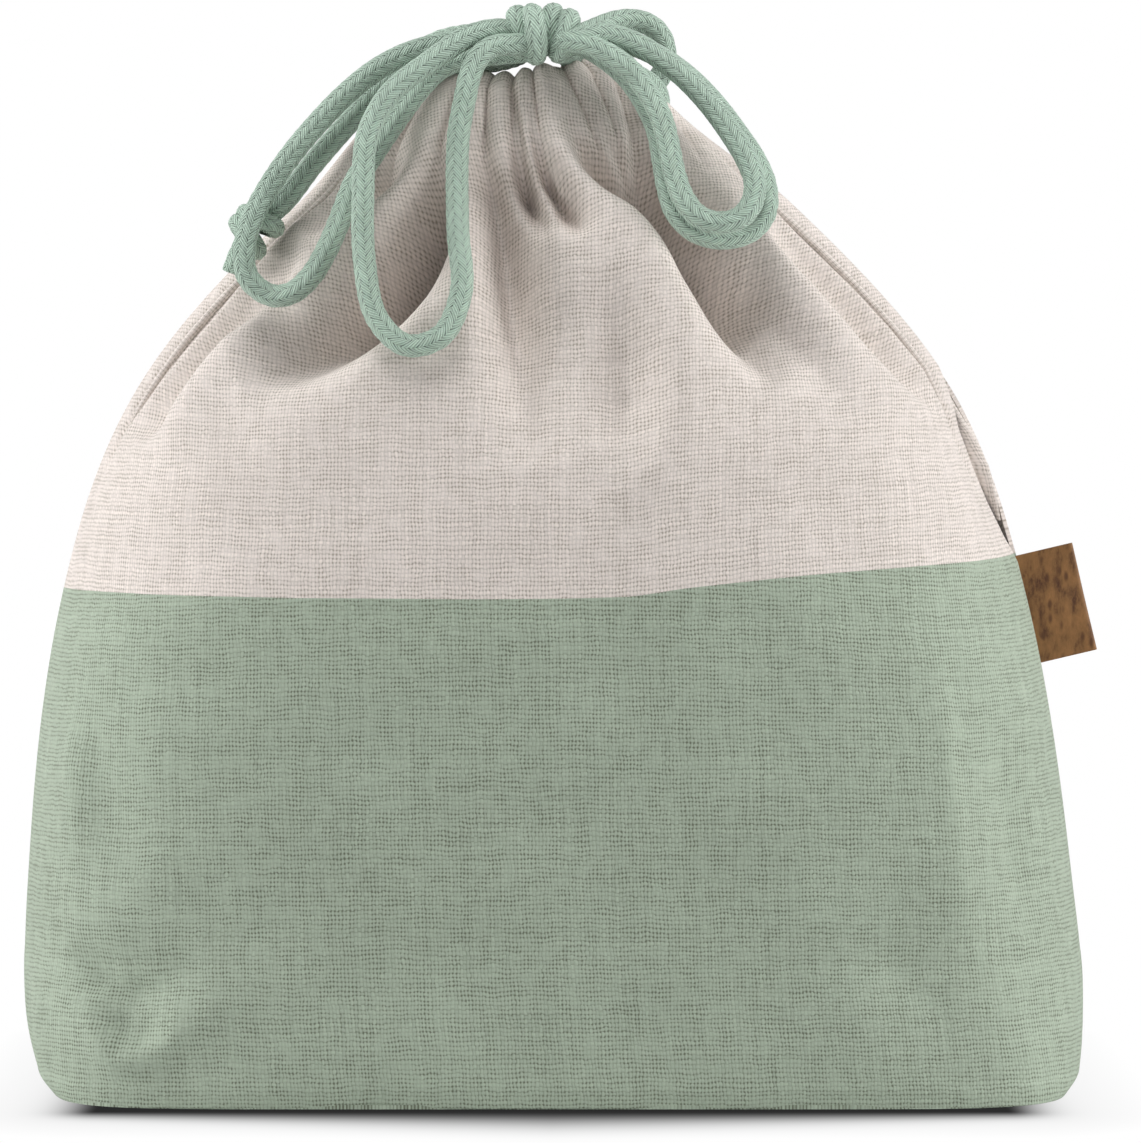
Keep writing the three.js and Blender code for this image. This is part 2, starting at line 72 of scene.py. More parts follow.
# Middle of the bow knot, on which the routes of the loops are based
KNOT = sum(np.array(corner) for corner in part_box("bow_knot")) / 2


def linear(code):
    """An sRGB hex code as three linear values."""
    values = np.array([int(code[i : i + 2], 16) for i in (1, 3, 5)]) / 255
    bright = ((values + 0.055) / 1.055) ** 2.4
    return tuple(np.where(values > 0.04045, bright, values / 12.92))


def setting(name, description, default, **more):
    """A number that can be set in the sidebar."""
    return FloatProperty(name=name, description=description, default=default, **more)


def size(name, description, default):
    """A length in metres that can be set in the sidebar."""
    return setting(name, description, default, unit="LENGTH", precision=4)


def colour(name, description, code):
    """A colour that can be set in the sidebar."""
    return FloatVectorProperty(
        name=name, description=description, default=linear(code), subtype="COLOR", min=0, max=1
    )


class BagShape(PropertyGroup):
    """Sizes of the filled bag."""

    base_width: size("Base width", "Width of the flat bottom", 0.2200)
    base_depth: size("Base depth", "Depth of the flat bottom", 0.1098)
    base_lean: size("Base lean", "Sideways shift of the bottom", 0.0016)
    heel_height: size("Heel height", "Height where the cloth has turned up from the bottom", 0.005)
    heel_width: size("Heel width", "Width at the heel", 0.2290)
    heel_depth: size("Heel depth", "Depth at the heel", 0.1118)
    heel_lean: size("Heel lean", "Sideways shift of the heel", 0.0014)
    belly_height: size("Belly height", "Height of the fullest level", 0.030)
    belly_width: size("Belly width", "Width at the fullest level", 0.2348)
    belly_depth: size("Belly depth", "Depth at the fullest level", 0.110)
    belly_lean: size("Belly lean", "Sideways shift of the fullest level", -0.0002)
    seam_height: size("Seam height", "Height where the two cloths meet", 0.108)
    seam_width: size("Seam width", "Width at the seam", 0.215)
    seam_depth: size("Seam depth", "Depth at the seam", 0.100)
    seam_lean: size("Seam lean", "Sideways shift of the seam", -0.002)
    seam_rise: size("Seam rise", "How far the seam climbs to the right side", 0.0084)
    shoulder_height: size("Shoulder height", "Height where the cloth turns in", 0.160)
    shoulder_width: size("Shoulder width", "Width at the shoulder", 0.1725)
    shoulder_depth: size("Shoulder depth", "Depth at the shoulder", 0.078)
    shoulder_lean: size("Shoulder lean", "Sideways shift of the shoulder", -0.00175)
    mouth_height: size("Mouth height", "Height of the drawn edge", 0.222)
    mouth_width: size("Mouth width", "Width of the drawn mouth", 0.050)
    mouth_depth: size("Mouth depth", "Depth of the drawn mouth", 0.034)
    mouth_lean: size("Mouth lean", "Sideways shift of the drawn mouth", -0.0055)
    mouth_peak: size("Mouth peak", "How far the edge rises right of the middle", 0.006)
    slit_start: size("Slit start", "Height where the side slits begin", 0.130)
    slit_half_gap: size("Slit half gap", "Half the width of a slit at the casing", 0.008)
    hem_width: size("Hem width", "Width of the turned edge beside a slit", 0.006)
    hem_thickness: size("Hem thickness", "Thickness of the turned edge", 0.0021)
    casing_height: size("Casing height", "Height of the cord tunnel", 0.018)
    casing_depth: size("Casing depth", "Depth of the cord tunnel", 0.0112)


class ClothFinish(PropertyGroup):
    """Cotton canvas of the bag."""

    thickness: size("Cloth thickness", "Thickness of one layer", 0.0009)
    warp_pitch: size("Warp pitch", "Distance from warp to warp", 0.00076)
    weft_pitch: size("Weft pitch", "Distance from weft to weft", 0.00096)
    natural: colour("Natural cotton", "Upper cloth", "#dbd2cc")
    sage: colour("Sage cotton", "Lower cloth", "#a4b09f")


class CordFinish(PropertyGroup):
    """Braided cotton cord."""

    diameter: size("Cord diameter", "Thickness of the cord", 0.0049)
    braid_pitch: size("Braid pitch", "Distance from strand to strand along the cord", 0.0029)
    dyed: colour("Dyed cotton", "Cord", "#b9cfbf")


class LabelFinish(PropertyGroup):
    """Cork fabric of the side label."""

    cork: colour("Cork", "Label", "#7d5935")
    bark: colour("Bark", "Dark veins of the cork", "#4a2c18")


class StageSettings(PropertyGroup):
    """Floor, light and camera."""

    floor: colour("Floor", "Pale floor", "#e6e6e6")
    floor_white: setting("Floor white", "Brightness of the floor as it is seen", 1)
    left_light: setting("Left light", "Power of the left lamp", 12.4, unit="POWER")
    right_light: setting("Right light", "Power of the right lamp", 9.7, unit="POWER")
    top_light: setting("Top light", "Power of the top lamp", 6.0, unit="POWER")
    mouth_light: setting("Mouth light", "Power of the spot on the mouth", 4.4, unit="POWER")
    ambient: setting("Ambient", "Strength of the white surroundings", 0.08)


def smoothstep(value, low, high):
    """Eased step: 0 below low, 1 above high."""
    t = np.clip((value - low) / (high - low), 0, 1)
    return t * t * (3 - 2 * t)


def run_length(points):
    """Length of a line up to each of its points."""
    return np.append(0, np.cumsum(np.linalg.norm(np.diff(points, axis=0), axis=1)))


def hermite(t, start, leave, end, arrive):
    """Cubic curve from start to end that leaves and arrives with the given slopes."""
    ease = 3 * t**2 - 2 * t**3
    return (1 - ease) * start + (t**3 - 2 * t**2 + t) * leave + ease * end + (t**3 - t**2) * arrive


def unit(vectors):
    """Vectors at length 1."""
    return vectors / np.maximum(np.linalg.norm(vectors, axis=-1, keepdims=True), 1e-12)


# Cross-sections from base to mouth. A section is flat in the middle and closes towards the
# side seams: depth = (1 - |x / half width| ^ flat) ^ (1 / round).
LEVELS = ("base", "heel", "belly", "seam", "shoulder", "mouth")
SECTION_FLAT = np.array([9, 7, 4.8, 3.9, 3, 2.4])
SECTION_ROUND = np.array([5, 3.6, 2.2, 1.35, 1.3, 1.4])
SECTION_STEPS = 64


def through_stations(z, heights, values):
    """Smooth curve through the stations, with the slope at each taken from its neighbours."""
    order = np.arange(len(heights))
    before = np.maximum(order - 1, 0)
    after = np.minimum(order + 1, len(heights) - 1)
    slope = (values[after] - values[before]) / (heights[after] - heights[before])
    i = np.clip(np.searchsorted(heights, z) - 1, 0, len(heights) - 2)
    step = heights[i + 1] - heights[i]
    t = (z - heights[i]) / step
    return hermite(t, values[i], step * slope[i], values[i + 1], step * slope[i + 1])


def section(shape, z):
    """Half width, half depth, lean, flatness, roundness and slit half gap at the heights z."""
    widths, depths, leans, heights = (
        np.array([getattr(shape, f"{level}_{kind}", 0) for level in LEVELS])
        for kind in ("width", "depth", "lean", "height")
    )
    leans[-1] = shape.shoulder_lean
    foot = shape.mouth_height - shape.casing_height
    drawn = smoothstep(z, foot - 10 * MM, foot + 10 * MM)
    return (
        through_stations(z, heights, widths) / 2,
        through_stations(z, heights, depths) / 2,
        through_stations(z, heights, leans) + (shape.mouth_lean - shape.shoulder_lean) * drawn,
        np.interp(z, heights, SECTION_FLAT),
        np.interp(z, heights, SECTION_ROUND),
        shape.slit_half_gap * smoothstep(z, shape.slit_start - 2 * MM, foot),
    )


def wall(shape, side, s, z):
    """Points of the cloth at the heights z, where s runs from -1 at the left side seam to 1 at the
    right one in equal steps along the section's outline."""
    s, z = np.broadcast_arrays(np.asarray(s, float), np.asarray(z, float))
    half_width, half_depth, lean, flat, rounded, gap = (v[..., None] for v in section(shape, z))
    angle = np.linspace(0, np.pi / 2, SECTION_STEPS + 1)
    across = half_width * np.sin(angle) ** (2 / flat)
    depth = gap + (half_depth - gap) * np.abs(np.cos(angle)) ** (2 / rounded)
    depth[..., -1] = gap[..., 0]
    steps = np.hypot(np.diff(across), np.diff(depth))
    run = np.concatenate([np.zeros_like(gap), np.cumsum(steps, axis=-1)], axis=-1)
    target = np.minimum(np.abs(s), 1)[..., None] * run[..., -1:]
    i = np.clip((run < target).sum(axis=-1, keepdims=True), 1, SECTION_STEPS)
    low, high = np.take_along_axis(run, i - 1, -1), np.take_along_axis(run, i, -1)
    t = (target - low) / (high - low)
    x, y = (
        np.take_along_axis(v, i - 1, -1) * (1 - t) + np.take_along_axis(v, i, -1) * t
        for v in (across, depth)
    )
    return np.stack([lean[..., 0] + np.sign(s) * x[..., 0], side * y[..., 0], z], axis=-1)


# Heights at which the edge of a slit is tucked in, and how far: at the right slit the low end of
# the front edge, beside which the back cloth lies close, and at the left slit the hidden back edge.
RIGHT_HEIGHTS = np.array([0, 115, 120, 128, 136, 144, 151, 158]) * MM
RIGHT_TUCKS = np.array([0, 0, 1.6, 3.2, 3.8, 3.4, 1.6, 0]) * MM
LEFT_HEIGHTS = np.array([0, 132, 144, 164, 182, 198, 212, 230]) * MM
LEFT_TUCKS = np.array([0, 0, 3, 5, 6, 6, 3, 0]) * MM
# Where the tucks begin on the way from the middle to a slit, where the back cloth begins to lie
# close beside the right slit and does so fully, and how far back it lies there
FRONT_TUCK = 0.7
BACK_TUCK = 0.5
CLOSE_FROM = 0.7
CLOSE_FULL = 0.88
CLOSE_DEPTH = 2 * MM


def laid_wall(shape, side, s, z):
    """The wall with the tucked edges of its slits."""
    points = wall(shape, side, s, z)
    if side == FRONT:
        points[..., 0] -= np.interp(z, RIGHT_HEIGHTS, RIGHT_TUCKS) * smoothstep(s, FRONT_TUCK, 1)
    else:
        points[..., 0] += np.interp(z, LEFT_HEIGHTS, LEFT_TUCKS) * smoothstep(-s, BACK_TUCK, 1)
        share = np.interp(z, RIGHT_HEIGHTS, RIGHT_TUCKS / RIGHT_TUCKS.max())
        forward = share * smoothstep(s, CLOSE_FROM, CLOSE_FULL)
        points[..., 1] += (CLOSE_DEPTH - points[..., 1]) * forward
    return points


def front_of(shape, x, z):
    """How far forward the front cloth stands at x and z."""
    half_width, half_depth, lean, flat, rounded, gap = section(shape, np.minimum(z, shape.mouth_height))
    share = np.minimum(np.abs(x - lean) / half_width, 1)
    return -(gap + (half_depth - gap) * (1 - share**flat) ** (1 / rounded))


def outward(shape, side, s, z):
    """Direction out of the cloth, square to its neighbours across and along."""
    step = 0.02
    rise = 2 * MM
    across = wall(shape, side, np.minimum(s + step, 1), z) - wall(shape, side, np.maximum(s - step, -1), z)
    up = wall(shape, side, s, np.minimum(z + rise, shape.mouth_height)) - wall(shape, side, s, z - rise)
    return unit(-side * np.cross(across, up))


def casing_foot(shape, s):
    """Height of the casing's lower edge."""
    return casing_top(shape, s) - shape.casing_height


# Rise of the drawn edge from the left slit to the right one, as shares of its peak
MOUTH_PLACES = np.array([-1, -0.6, -0.35, 0, 0.12, 0.22, 0.36, 0.5, 0.65, 0.8, 1])
MOUTH_RISE = np.array([0.2, 0.34, 0.4, 0.52, 0.58, 0.64, 0.8, 1, 1, 0.75, 0.3])


def casing_top(shape, s):
    """Height of the drawn edge, which rises to a peak right of the middle."""
    return shape.mouth_height + shape.mouth_peak * through_stations(s, MOUTH_PLACES, MOUTH_RISE)


# Folds of the front cloth, seen from the front and listed from the mouth down, in millimetres.
# Each has its rise out of the cloth along its line, its widths towards the viewer's left and
# right at its start and end, and the x and z of its line.
FRONT_FOLDS = (
    # Broad ridge from the mouth down to the right, with the deep valley on its right
    ((2, 2.4, 3, 3.6, 4, 4, 3.4, 2, 0), (2.2, 18), (1.8, 4),
     ((-3, 223), (-2, 216), (0, 209), (5, 202), (12, 196), (19, 190), (25, 183), (34, 168), (43, 152))),
    ((-2, -8, -17, -26, -33, -33, -23, -8, 0), (2, 4), (3, 10),
     ((1.2, 224), (3, 213), (6.5, 206), (12.5, 200), (21, 195), (28, 187.5),
      (34, 177), (40, 166), (49, 154))),
    ((-1, -2.6, -3, -2, 0), (6, 8), (4, 5), ((38, 182), (46, 172), (54, 162), (62, 152), (68, 146))),
    # Narrow ridges and creases right of the valley
    ((2, 2, 3, 3.4, 2.6, 0), (1.8, 3.4), (2, 6),
     ((4.6, 222), (6.2, 215), (10, 209), (15.5, 204), (22, 198), (30, 189))),
    ((-1, -4, -7, -5, 0), (1.4, 2.2), (1.4, 2.4),
     ((7.2, 219), (8.5, 213), (12.5, 208), (19, 202), (26, 196))),
    ((1.8, 1.8, 1.6, 0), (1.8, 3), (1.8, 3), ((10, 224), (12, 217), (14.5, 212), (21, 204))),
    ((-1.2, -4, -8, -6, 0), (1.4, 2.4), (1.6, 3),
     ((16, 223), (16.8, 216), (18, 209), (23, 201), (31, 193))),
    ((1.4, 1.6, 1.2, 0), (2, 4), (2, 4), ((19.5, 222), (21, 214), (27, 204), (36, 194))),
    # Second ridge at the right, and the step down to the edge of the slit
    ((0.4, 1.8, 3, 3, 2, 0), (4, 9), (2, 3),
     ((38, 196), (47, 185), (54, 176), (62, 167), (71, 158), (80, 150), (85, 144))),
    ((-0.5, -4, -7, -7, -5, 0), (2, 3), (5, 8),
     ((42, 198), (51, 187), (59, 177), (67, 168), (75, 159.5), (83, 151), (87, 146))),
    # Narrow pleats left of the broad ridge
    ((-1.6, -7, -16, -16, -6), (1.6, 2.8), (1.4, 2.2),
     ((-9.4, 223), (-8.6, 213), (-7.3, 205), (-5, 198), (-2, 191))),
    ((1.2, 1.6, 2.8, 2.4, 0), (1.4, 3), (1.3, 2.4),
     ((-7, 223), (-6.7, 214), (-5.2, 205), (-0.8, 198), (3, 192))),
    ((-1.4, -7, -16, -12, 0), (1.4, 3), (1.4, 2.6),
     ((-5.6, 217), (-4.2, 209), (-1.6, 202), (3.5, 193), (8, 186))),
    # Hollow below the pleats, and the ridge at its left
    ((-7, -13, -17, -17, -13, -9, -4.5, 0), (3, 8), (4.5, 12),
     ((-15, 208), (-14.2, 200), (-12.5, 193), (-11, 187), (-9.4, 176), (-7.6, 163),
      (-5.6, 150), (-3, 136))),
    ((1.4, 1.4, 1.8, 2.8, 3, 2, 0), (4, 9), (2.4, 4),
     ((-17.4, 223), (-18, 213), (-19.4, 204), (-19.4, 196), (-19, 189), (-18.4, 180), (-17.6, 164))),
    # Dark pocket between the strands of the left loop, and its bright lower lip
    ((-2, -16, -31, -33, -25, -15, -8, 0), (5, 9), (5, 7),
     ((-23.5, 209), (-26, 197), (-30, 186), (-35, 178), (-42, 170), (-52, 162), (-60, 158), (-68, 156))),
    ((0.2, 2, 3, 3, 2.4, 1.6, 0), (3, 6), (5, 13),
     ((-19, 178), (-26, 170.5), (-32.5, 165), (-39.5, 160), (-49, 155), (-58, 151), (-68, 150))),
    # Ridge and crease that lead to the left shoulder
    ((1.4, 2, 2.6, 2.6, 1.8, 0), (2.4, 5), (3, 6),
     ((-21, 214), (-29, 203), (-38, 196), (-46, 190), (-53, 183), (-59, 176))),
    ((-1, -5, -8, -6, 0), (2, 5), (1.8, 4), ((-25, 213), (-32, 206), (-38, 200), (-46, 193), (-55, 186))),
    # Long valley over the left shoulder with a sharp ridge at its right
    ((-0.6, -4, -7, -8, -8, -6, 0), (8, 11), (2, 3),
     ((-55, 183), (-61, 176.5), (-66.5, 171), (-74.5, 164), (-82, 155), (-87.5, 147), (-92, 141))),
    ((0.6, 2, 3, 3, 2.4, 0), (1.8, 2.6), (4, 8),
     ((-56, 178), (-62.3, 171), (-70.2, 163.7), (-77.5, 155), (-84, 146), (-88, 139))),
    # Soft hollow in the middle of the right half, and the curved ridge around its right side
    ((0, -4, -6, -4.6, 0), (9, 12), (4.5, 6), ((12, 180), (14.5, 167), (16.5, 153), (12, 140))),
    ((0, 1.4, 2.8, 3.2, 2.4, 0), (4, 5), (7, 10),
     ((24, 176), (26.5, 162), (27, 148), (22, 136), (12, 129))),
)

# Creases between the pleats of the casing, in millimetres from the middle, at the drawn edge and
# at the casing's foot
FRONT_CREASES = (
    (-34, -25, -18.5, -14.2, -10, -5, 1.2, 6.6, 11.5, 15.8, 21.5, 34),
    (-46, -35, -24.8, -15, -7.2, -2.4, 9.5, 14, 18, 23, 30, 46),
)
BACK_CREASES = (
    (-34, -24, -17, -11.5, -6, 0.5, 5, 12, 17.5, 24, 34),
    (-46, -33, -23, -16, -8, 0.8, 7, 16, 24, 33, 46),
)

# Soft dents of the lower cloth, given like the folds
LOWER_DENTS = (
    ((0, -3.4, -4.4, -2, 0), (4, 6), (5, 7), ((-104, 33), (-96, 27), (-88, 25), (-80, 27), (-72, 30))),
    ((0, -2.6, -3, 0), (3, 4), (4, 6), ((-98, 22), (-91, 17), (-85, 15), (-80, 14))),
    ((0, 2.6, 2.8, 1.4, 0), (4, 6), (4, 6), ((-101, 24), (-94, 11), (-86, 12), (-76, 18), (-62, 26))),
    ((0, 1.8, 2, 0), (3, 4), (3, 5), ((-104, 86), (-103, 66), (-102, 48))),
    ((0, -1, -1.2, 0), (5, 6), (6, 8), ((-97, 88), (-96, 66), (-94, 44))),
    ((0, -1.6, -1.4, 0), (8, 10), (8, 10), ((-84, 52), (-70, 40), (-52, 28))),
    ((0, 1.8, 2.2, 1.4, 0), (7, 9), (4, 5), ((80, 100), (84, 74), (87, 48), (90, 26))),
    ((0, -2, -2.4, 0), (4, 6), (5, 7), ((96, 82), (100, 56), (102, 34))),
    ((0, -1.4, -2, 0), (7, 9), (7, 9), ((66, 36), (78, 24), (88, 16))),
)


# Folds of the back cloth, in millimetres: how far down each reaches, the half width of the row
# at the mouth, the spread per reach, and the rise and widths of every fold
BACK_REACH = (46, 70, 38, 62, 80, 44, 66, 40, 58)
BACK_HALF = 22
BACK_SPREAD = 0.75
BACK_RISE = (-1.2, -5.5, 0)
BACK_WIDTHS = (2, 7)


def back_folds():
    """Folds of the back cloth: lines that fan out from the mouth, each to a depth of its own."""
    folds = []
    for share, length in zip(np.linspace(-1, 1, len(BACK_REACH)), BACK_REACH):
        top, low = BACK_HALF * share, (BACK_HALF + BACK_SPREAD * length) * share
        line = ((top, 223), (top + (low - top) * 0.2, 222 - 0.3 * length), (low, 222 - length))
        folds.append((BACK_RISE, BACK_WIDTHS, BACK_WIDTHS, line))
    return tuple(folds)


# Points per span of a fold's line, and the power in the bell curve across it
FOLD_STEPS = 8
FOLD_POWER = 1.6


def smooth_line(points):
    """Points on a smooth curve through the given ones, with slopes from the neighbours."""
    points = np.asarray(points, float)
    knots = np.arange(len(points), dtype=float)
    places = np.arange((len(points) - 1) * FOLD_STEPS + 1) / FOLD_STEPS
    return np.stack([through_stations(places, knots, column) for column in points.T], axis=-1)


def fold_relief(folds, x, z):
    """Rise of the cloth at x and z: each fold adds its height times a bell curve of the distance
    from its line, with one width at the left of the line and another at the right."""
    relief = np.zeros_like(x)
    for rise, left, right, line in folds:
        path = smooth_line(line) * MM
        run = run_length(path)
        nearest = np.full_like(x, np.inf)
        share = np.zeros_like(x)
        hand = np.zeros_like(x)
        for a, b, start, end in zip(path[:-1], path[1:], run[:-1], run[1:]):
            span = b - a
            dx, dz = x - a[0], z - a[1]
            t = np.clip((dx * span[0] + dz * span[1]) / (span @ span), 0, 1)
            away = np.hypot(dx - t * span[0], dz - t * span[1])
            closer = away < nearest
            nearest = np.where(closer, away, nearest)
            share = np.where(closer, (start + t * (end - start)) / run[-1], share)
            hand = np.where(closer, span[0] * dz - span[1] * dx, hand)
        height = np.interp(share, np.linspace(0, 1, len(rise)), rise) * MM
        width = np.where(hand < 0, np.interp(share, (0, 1), left), np.interp(share, (0, 1), right)) * MM
        relief += height * np.exp(-((nearest / width) ** FOLD_POWER))
    return relief


# Bulge of a pleat as a share of its width, and its limits
PLEAT_BULGE = 0.4
PLEAT_LEAST = 1.2 * MM
PLEAT_MOST = 3.4 * MM


def pleat_relief(shape, creases, foot, x, z):
    """Rise of the pleats in the casing: between two creases the cloth bulges as the root of a half
    wave, by two fifths of the pleat's width."""
    climb = (z - foot) / shape.casing_height
    relief = np.zeros_like(x)
    edge, base = (np.array(row) * MM for row in creases)
    lines = [base[k] + (edge[k] - base[k]) * climb for k in range(len(edge))]
    for low, high in zip(lines[:-1], lines[1:]):
        share = (x - low) / (high - low)
        inside = (share >= 0) & (share < 1)
        bulge = np.sqrt(np.sin(np.pi * np.clip(share, 0, 1)))
        amount = np.clip(PLEAT_BULGE * (high - low), PLEAT_LEAST, PLEAT_MOST)
        relief = np.where(inside, bulge * amount, relief)
    return relief


# Waves of handled cloth: turns in radians per metre across and up, and phase
WAVES = ((110, 35, 0.3), (-60, 150, 1.7), (210, -95, 4.0), (75, 240, 2.2))
WAVE_HEIGHT = 0.16 * MM


def unevenness(x, z):
    """Slight waviness of handled cloth: four waves of 2 to 6 cm that cross each other."""
    return WAVE_HEIGHT * sum(np.sin(a * x + b * z + phase) for a, b, phase in WAVES)


# How far below and above the casing's foot the cloth turns from folds to pleats, the share of the
# folds that stays there, the deepest folds below the casing and in it, the sink of the pleats, the
# stitch row of a slit, and where the relief begins to fade towards the side seam and is gone
GATHER_BELOW = 9 * MM
GATHER_ABOVE = 2 * MM
CASING_FOLD = 0.3
DEEPEST_FOLD = -36 * MM
DEEPEST_PLEAT = -3.2 * MM
PLEAT_SINK = 1.8 * MM
STITCH_DEPTH = 1.2 * MM
STITCH_INSET = 6 * MM
STITCH_WIDTH = 1 * MM
STITCH_START = 12 * MM
FADE_FROM = 0.84
FADE_END = 0.98


def cloth_relief(shape, side, s, x, z):
    """How far the cloth stands out of its plain wall: pleats and shallow folds in the casing, where
    the cords run close behind it, and deep folds below. It fades at the side seams and slits, and a
    stitch row runs along each slit."""
    folds = FRONT_FOLDS + LOWER_DENTS if side == FRONT else back_folds()
    creases = FRONT_CREASES if side == FRONT else BACK_CREASES
    foot = casing_foot(shape, s)
    folded = np.maximum(fold_relief(folds, x, z) + unevenness(x * side, z), DEEPEST_FOLD)
    pleated = pleat_relief(shape, creases, foot, x, z) - PLEAT_SINK
    gathered = smoothstep(z, foot - GATHER_BELOW, foot + GATHER_ABOVE)
    drawn = np.maximum(pleated + CASING_FOLD * folded, DEEPEST_PLEAT)
    relief = folded * (1 - gathered) + drawn * gathered
    half_width, half_depth = section(shape, z)[:2]
    inward = (1 - np.abs(s)) * np.hypot(half_width, half_depth)
    slit = smoothstep(z, shape.slit_start, shape.slit_start + STITCH_START) * (1 - gathered)
    stitches = -STITCH_DEPTH * slit * np.exp(-(((inward - STITCH_INSET) / STITCH_WIDTH) ** 2))
    return relief * (1 - smoothstep(np.abs(s), FADE_FROM, FADE_END)) + stitches


def grid_normals(points):
    """Directions square to a grid of points."""
    return unit(np.cross(np.gradient(points, axis=1), np.gradient(points, axis=0)))


def arc_uv(points):
    """Lengths in metres along the rows, from the middle column, and up the columns."""
    across = np.linalg.norm(np.diff(points, axis=1), axis=-1)
    u = np.concatenate([np.zeros((len(points), 1)), np.cumsum(across, axis=1)], axis=1)
    u -= u[:, points.shape[1] // 2][:, None]
    along = np.linalg.norm(np.diff(points, axis=0), axis=-1)
    v = np.concatenate([np.zeros((1, points.shape[1])), np.cumsum(along, axis=0)], axis=0)
    return np.stack([u, v], axis=-1)


def quads(index):
    """Faces between neighbouring rows and columns of a grid of vertex numbers."""
    corners = (index[:-1, :-1], index[:-1, 1:], index[1:, 1:], index[1:, :-1])
    return np.stack(corners, axis=-1).reshape(-1, 4)


def closed_sheet(outer, inner, uv, rows_meet=False):
    """Vertices, faces and face-corner UVs of a sheet with two skins and closed edges. Where
    rows_meet, the last row is joined to the first and the sheet is a tunnel with open ends."""
    rows, columns = outer.shape[:2]
    index = np.arange(rows * columns).reshape(rows, columns)
    skin = np.vstack([index, index[:1]]) if rows_meet else index
    below = rows * columns
    faces = [quads(skin), quads(skin)[:, ::-1] + below]
    if rows_meet:
        edges = [skin[:, 0], skin[::-1, -1]]
    else:
        edges = [np.concatenate([index[0, ::-1], index[1:, 0], index[-1, 1:], index[-2::-1, -1]])]
    for edge in edges:
        faces.append(np.stack([edge[:-1], edge[1:], edge[1:] + below, edge[:-1] + below], axis=-1))
    faces = np.concatenate(faces)
    vertices = np.concatenate([outer.reshape(-1, 3), inner.reshape(-1, 3)])
    flat_uv = np.concatenate([uv.reshape(-1, 2), uv.reshape(-1, 2)])
    return vertices, faces, flat_uv[faces]


def loft(rings, ring_uv, path_uv, ends_meet=False):
    """Vertices, faces and face-corner UVs of a tube: rings of points along a path, closed at both
    ends by a middle point, or joined end to end. ring_uv has one value more than a ring has points,
    and path_uv one more than there are rings where the ends meet."""
    count, around = rings.shape[:2]
    index = np.arange(count * around).reshape(count, around)
    index = np.concatenate([index, index[:, :1]], axis=1)
    if ends_meet:
        index = np.vstack([index, index[:1]])
    faces = quads(index)
    u, v = np.meshgrid(ring_uv, path_uv)
    place = np.stack([u, v], axis=-1)
    grid = np.arange(u.size).reshape(u.shape)
    corner_uv = place.reshape(-1, 2)[quads(grid)]
    vertices = rings.reshape(-1, 3)
    if ends_meet:
        return vertices, faces, corner_uv
    caps = []
    for k, ring in enumerate((index[0, ::-1], index[-1])):
        middle = np.full(around, len(vertices) + k)
        caps.append(np.stack([ring[:-1], ring[1:], middle, middle], axis=-1))
    middles = rings[[0, -1]].mean(axis=1)
    corner_uv = np.concatenate([corner_uv, np.zeros((2 * around, 4, 2))])
    return np.concatenate([vertices, middles]), np.concatenate([faces, *caps]), corner_uv


def merge(*shapes):
    """Several shapes as one."""
    offsets = np.cumsum([0] + [len(shape[0]) for shape in shapes[:-1]])
    vertices = np.concatenate([shape[0] for shape in shapes])
    faces = np.concatenate([shape[1] + offset for shape, offset in zip(shapes, offsets)])
    return vertices, faces, np.concatenate([shape[2] for shape in shapes])


def facing_out(vertices, faces, corner_uv):
    """The same shape with its faces outwards: a negative volume turns them round."""
    a, b, c, d = (vertices[faces[:, i]] for i in range(4))
    volume = np.einsum("ij,ij->", a, np.cross(b, c)) + np.einsum("ij,ij->", a, np.cross(c, d))
    if volume < 0:
        return vertices, faces[:, ::-1], corner_uv[:, ::-1]
    return vertices, faces, corner_uv


def put(name, data, place=(0, 0, 0), turn=(0, 0, 0)):
    """Puts data into the scene as an object."""
    thing = bpy.data.objects.new(name, data)
    bpy.context.scene.collection.objects.link(thing)
    thing.location = place
    thing.rotation_euler = turn
    return thing


# Angle between faces from which an edge is shown sharp
SHARP_ANGLE = math.radians(55)


def make_piece(name, shape, material, uv_name, body, nodes):
    """Puts a shape into the scene as a smooth piece that rides on a body and stands for nodes."""
    vertices, faces, corner_uv = facing_out(*shape)
    triangle = faces[:, 2] == faces[:, 3]
    polygons = [list(f[:3]) if t else list(f) for f, t in zip(faces.tolist(), triangle)]
    mesh = bpy.data.meshes.new(name)
    mesh.from_pydata(vertices.tolist(), [], polygons)
    keep = np.ones((len(faces), 4), bool)
    keep[triangle, 3] = False
    layer = mesh.uv_layers.new(name=uv_name)
    layer.data.foreach_set("uv", corner_uv[keep].ravel())
    mesh.shade_smooth()
    mesh.set_sharp_from_angle(angle=SHARP_ANGLE)
    mesh.materials.append(material)
    piece = put(name, mesh)
    if body:
        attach(piece, body)
    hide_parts(*nodes)
    return piece


def add_node(tree, kind, inputs=None, output=0, **settings):
    """Adds a node, sets its fields, links or fills its inputs, and returns one of its outputs."""
    node = tree.nodes.new(kind)
    for field, value in settings.items():
        setattr(node, field, value)
    for key, value in (inputs or {}).items():
        if isinstance(value, bpy.types.NodeSocket):
            tree.links.new(value, node.inputs[key])
        else:
            node.inputs[key].default_value = value
    return node.outputs[output] if node.outputs else node


def maths(tree, operation, *values):
    """Adds a maths node for sockets or numbers."""
    return add_node(tree, "ShaderNodeMath", dict(enumerate(values)), operation=operation)


def map_range(tree, value, low, high, to_low, to_high):
    """Adds a node that takes a value from one range to another."""
    return add_node(tree, "ShaderNodeMapRange", dict(enumerate((value, low, high, to_low, to_high))))


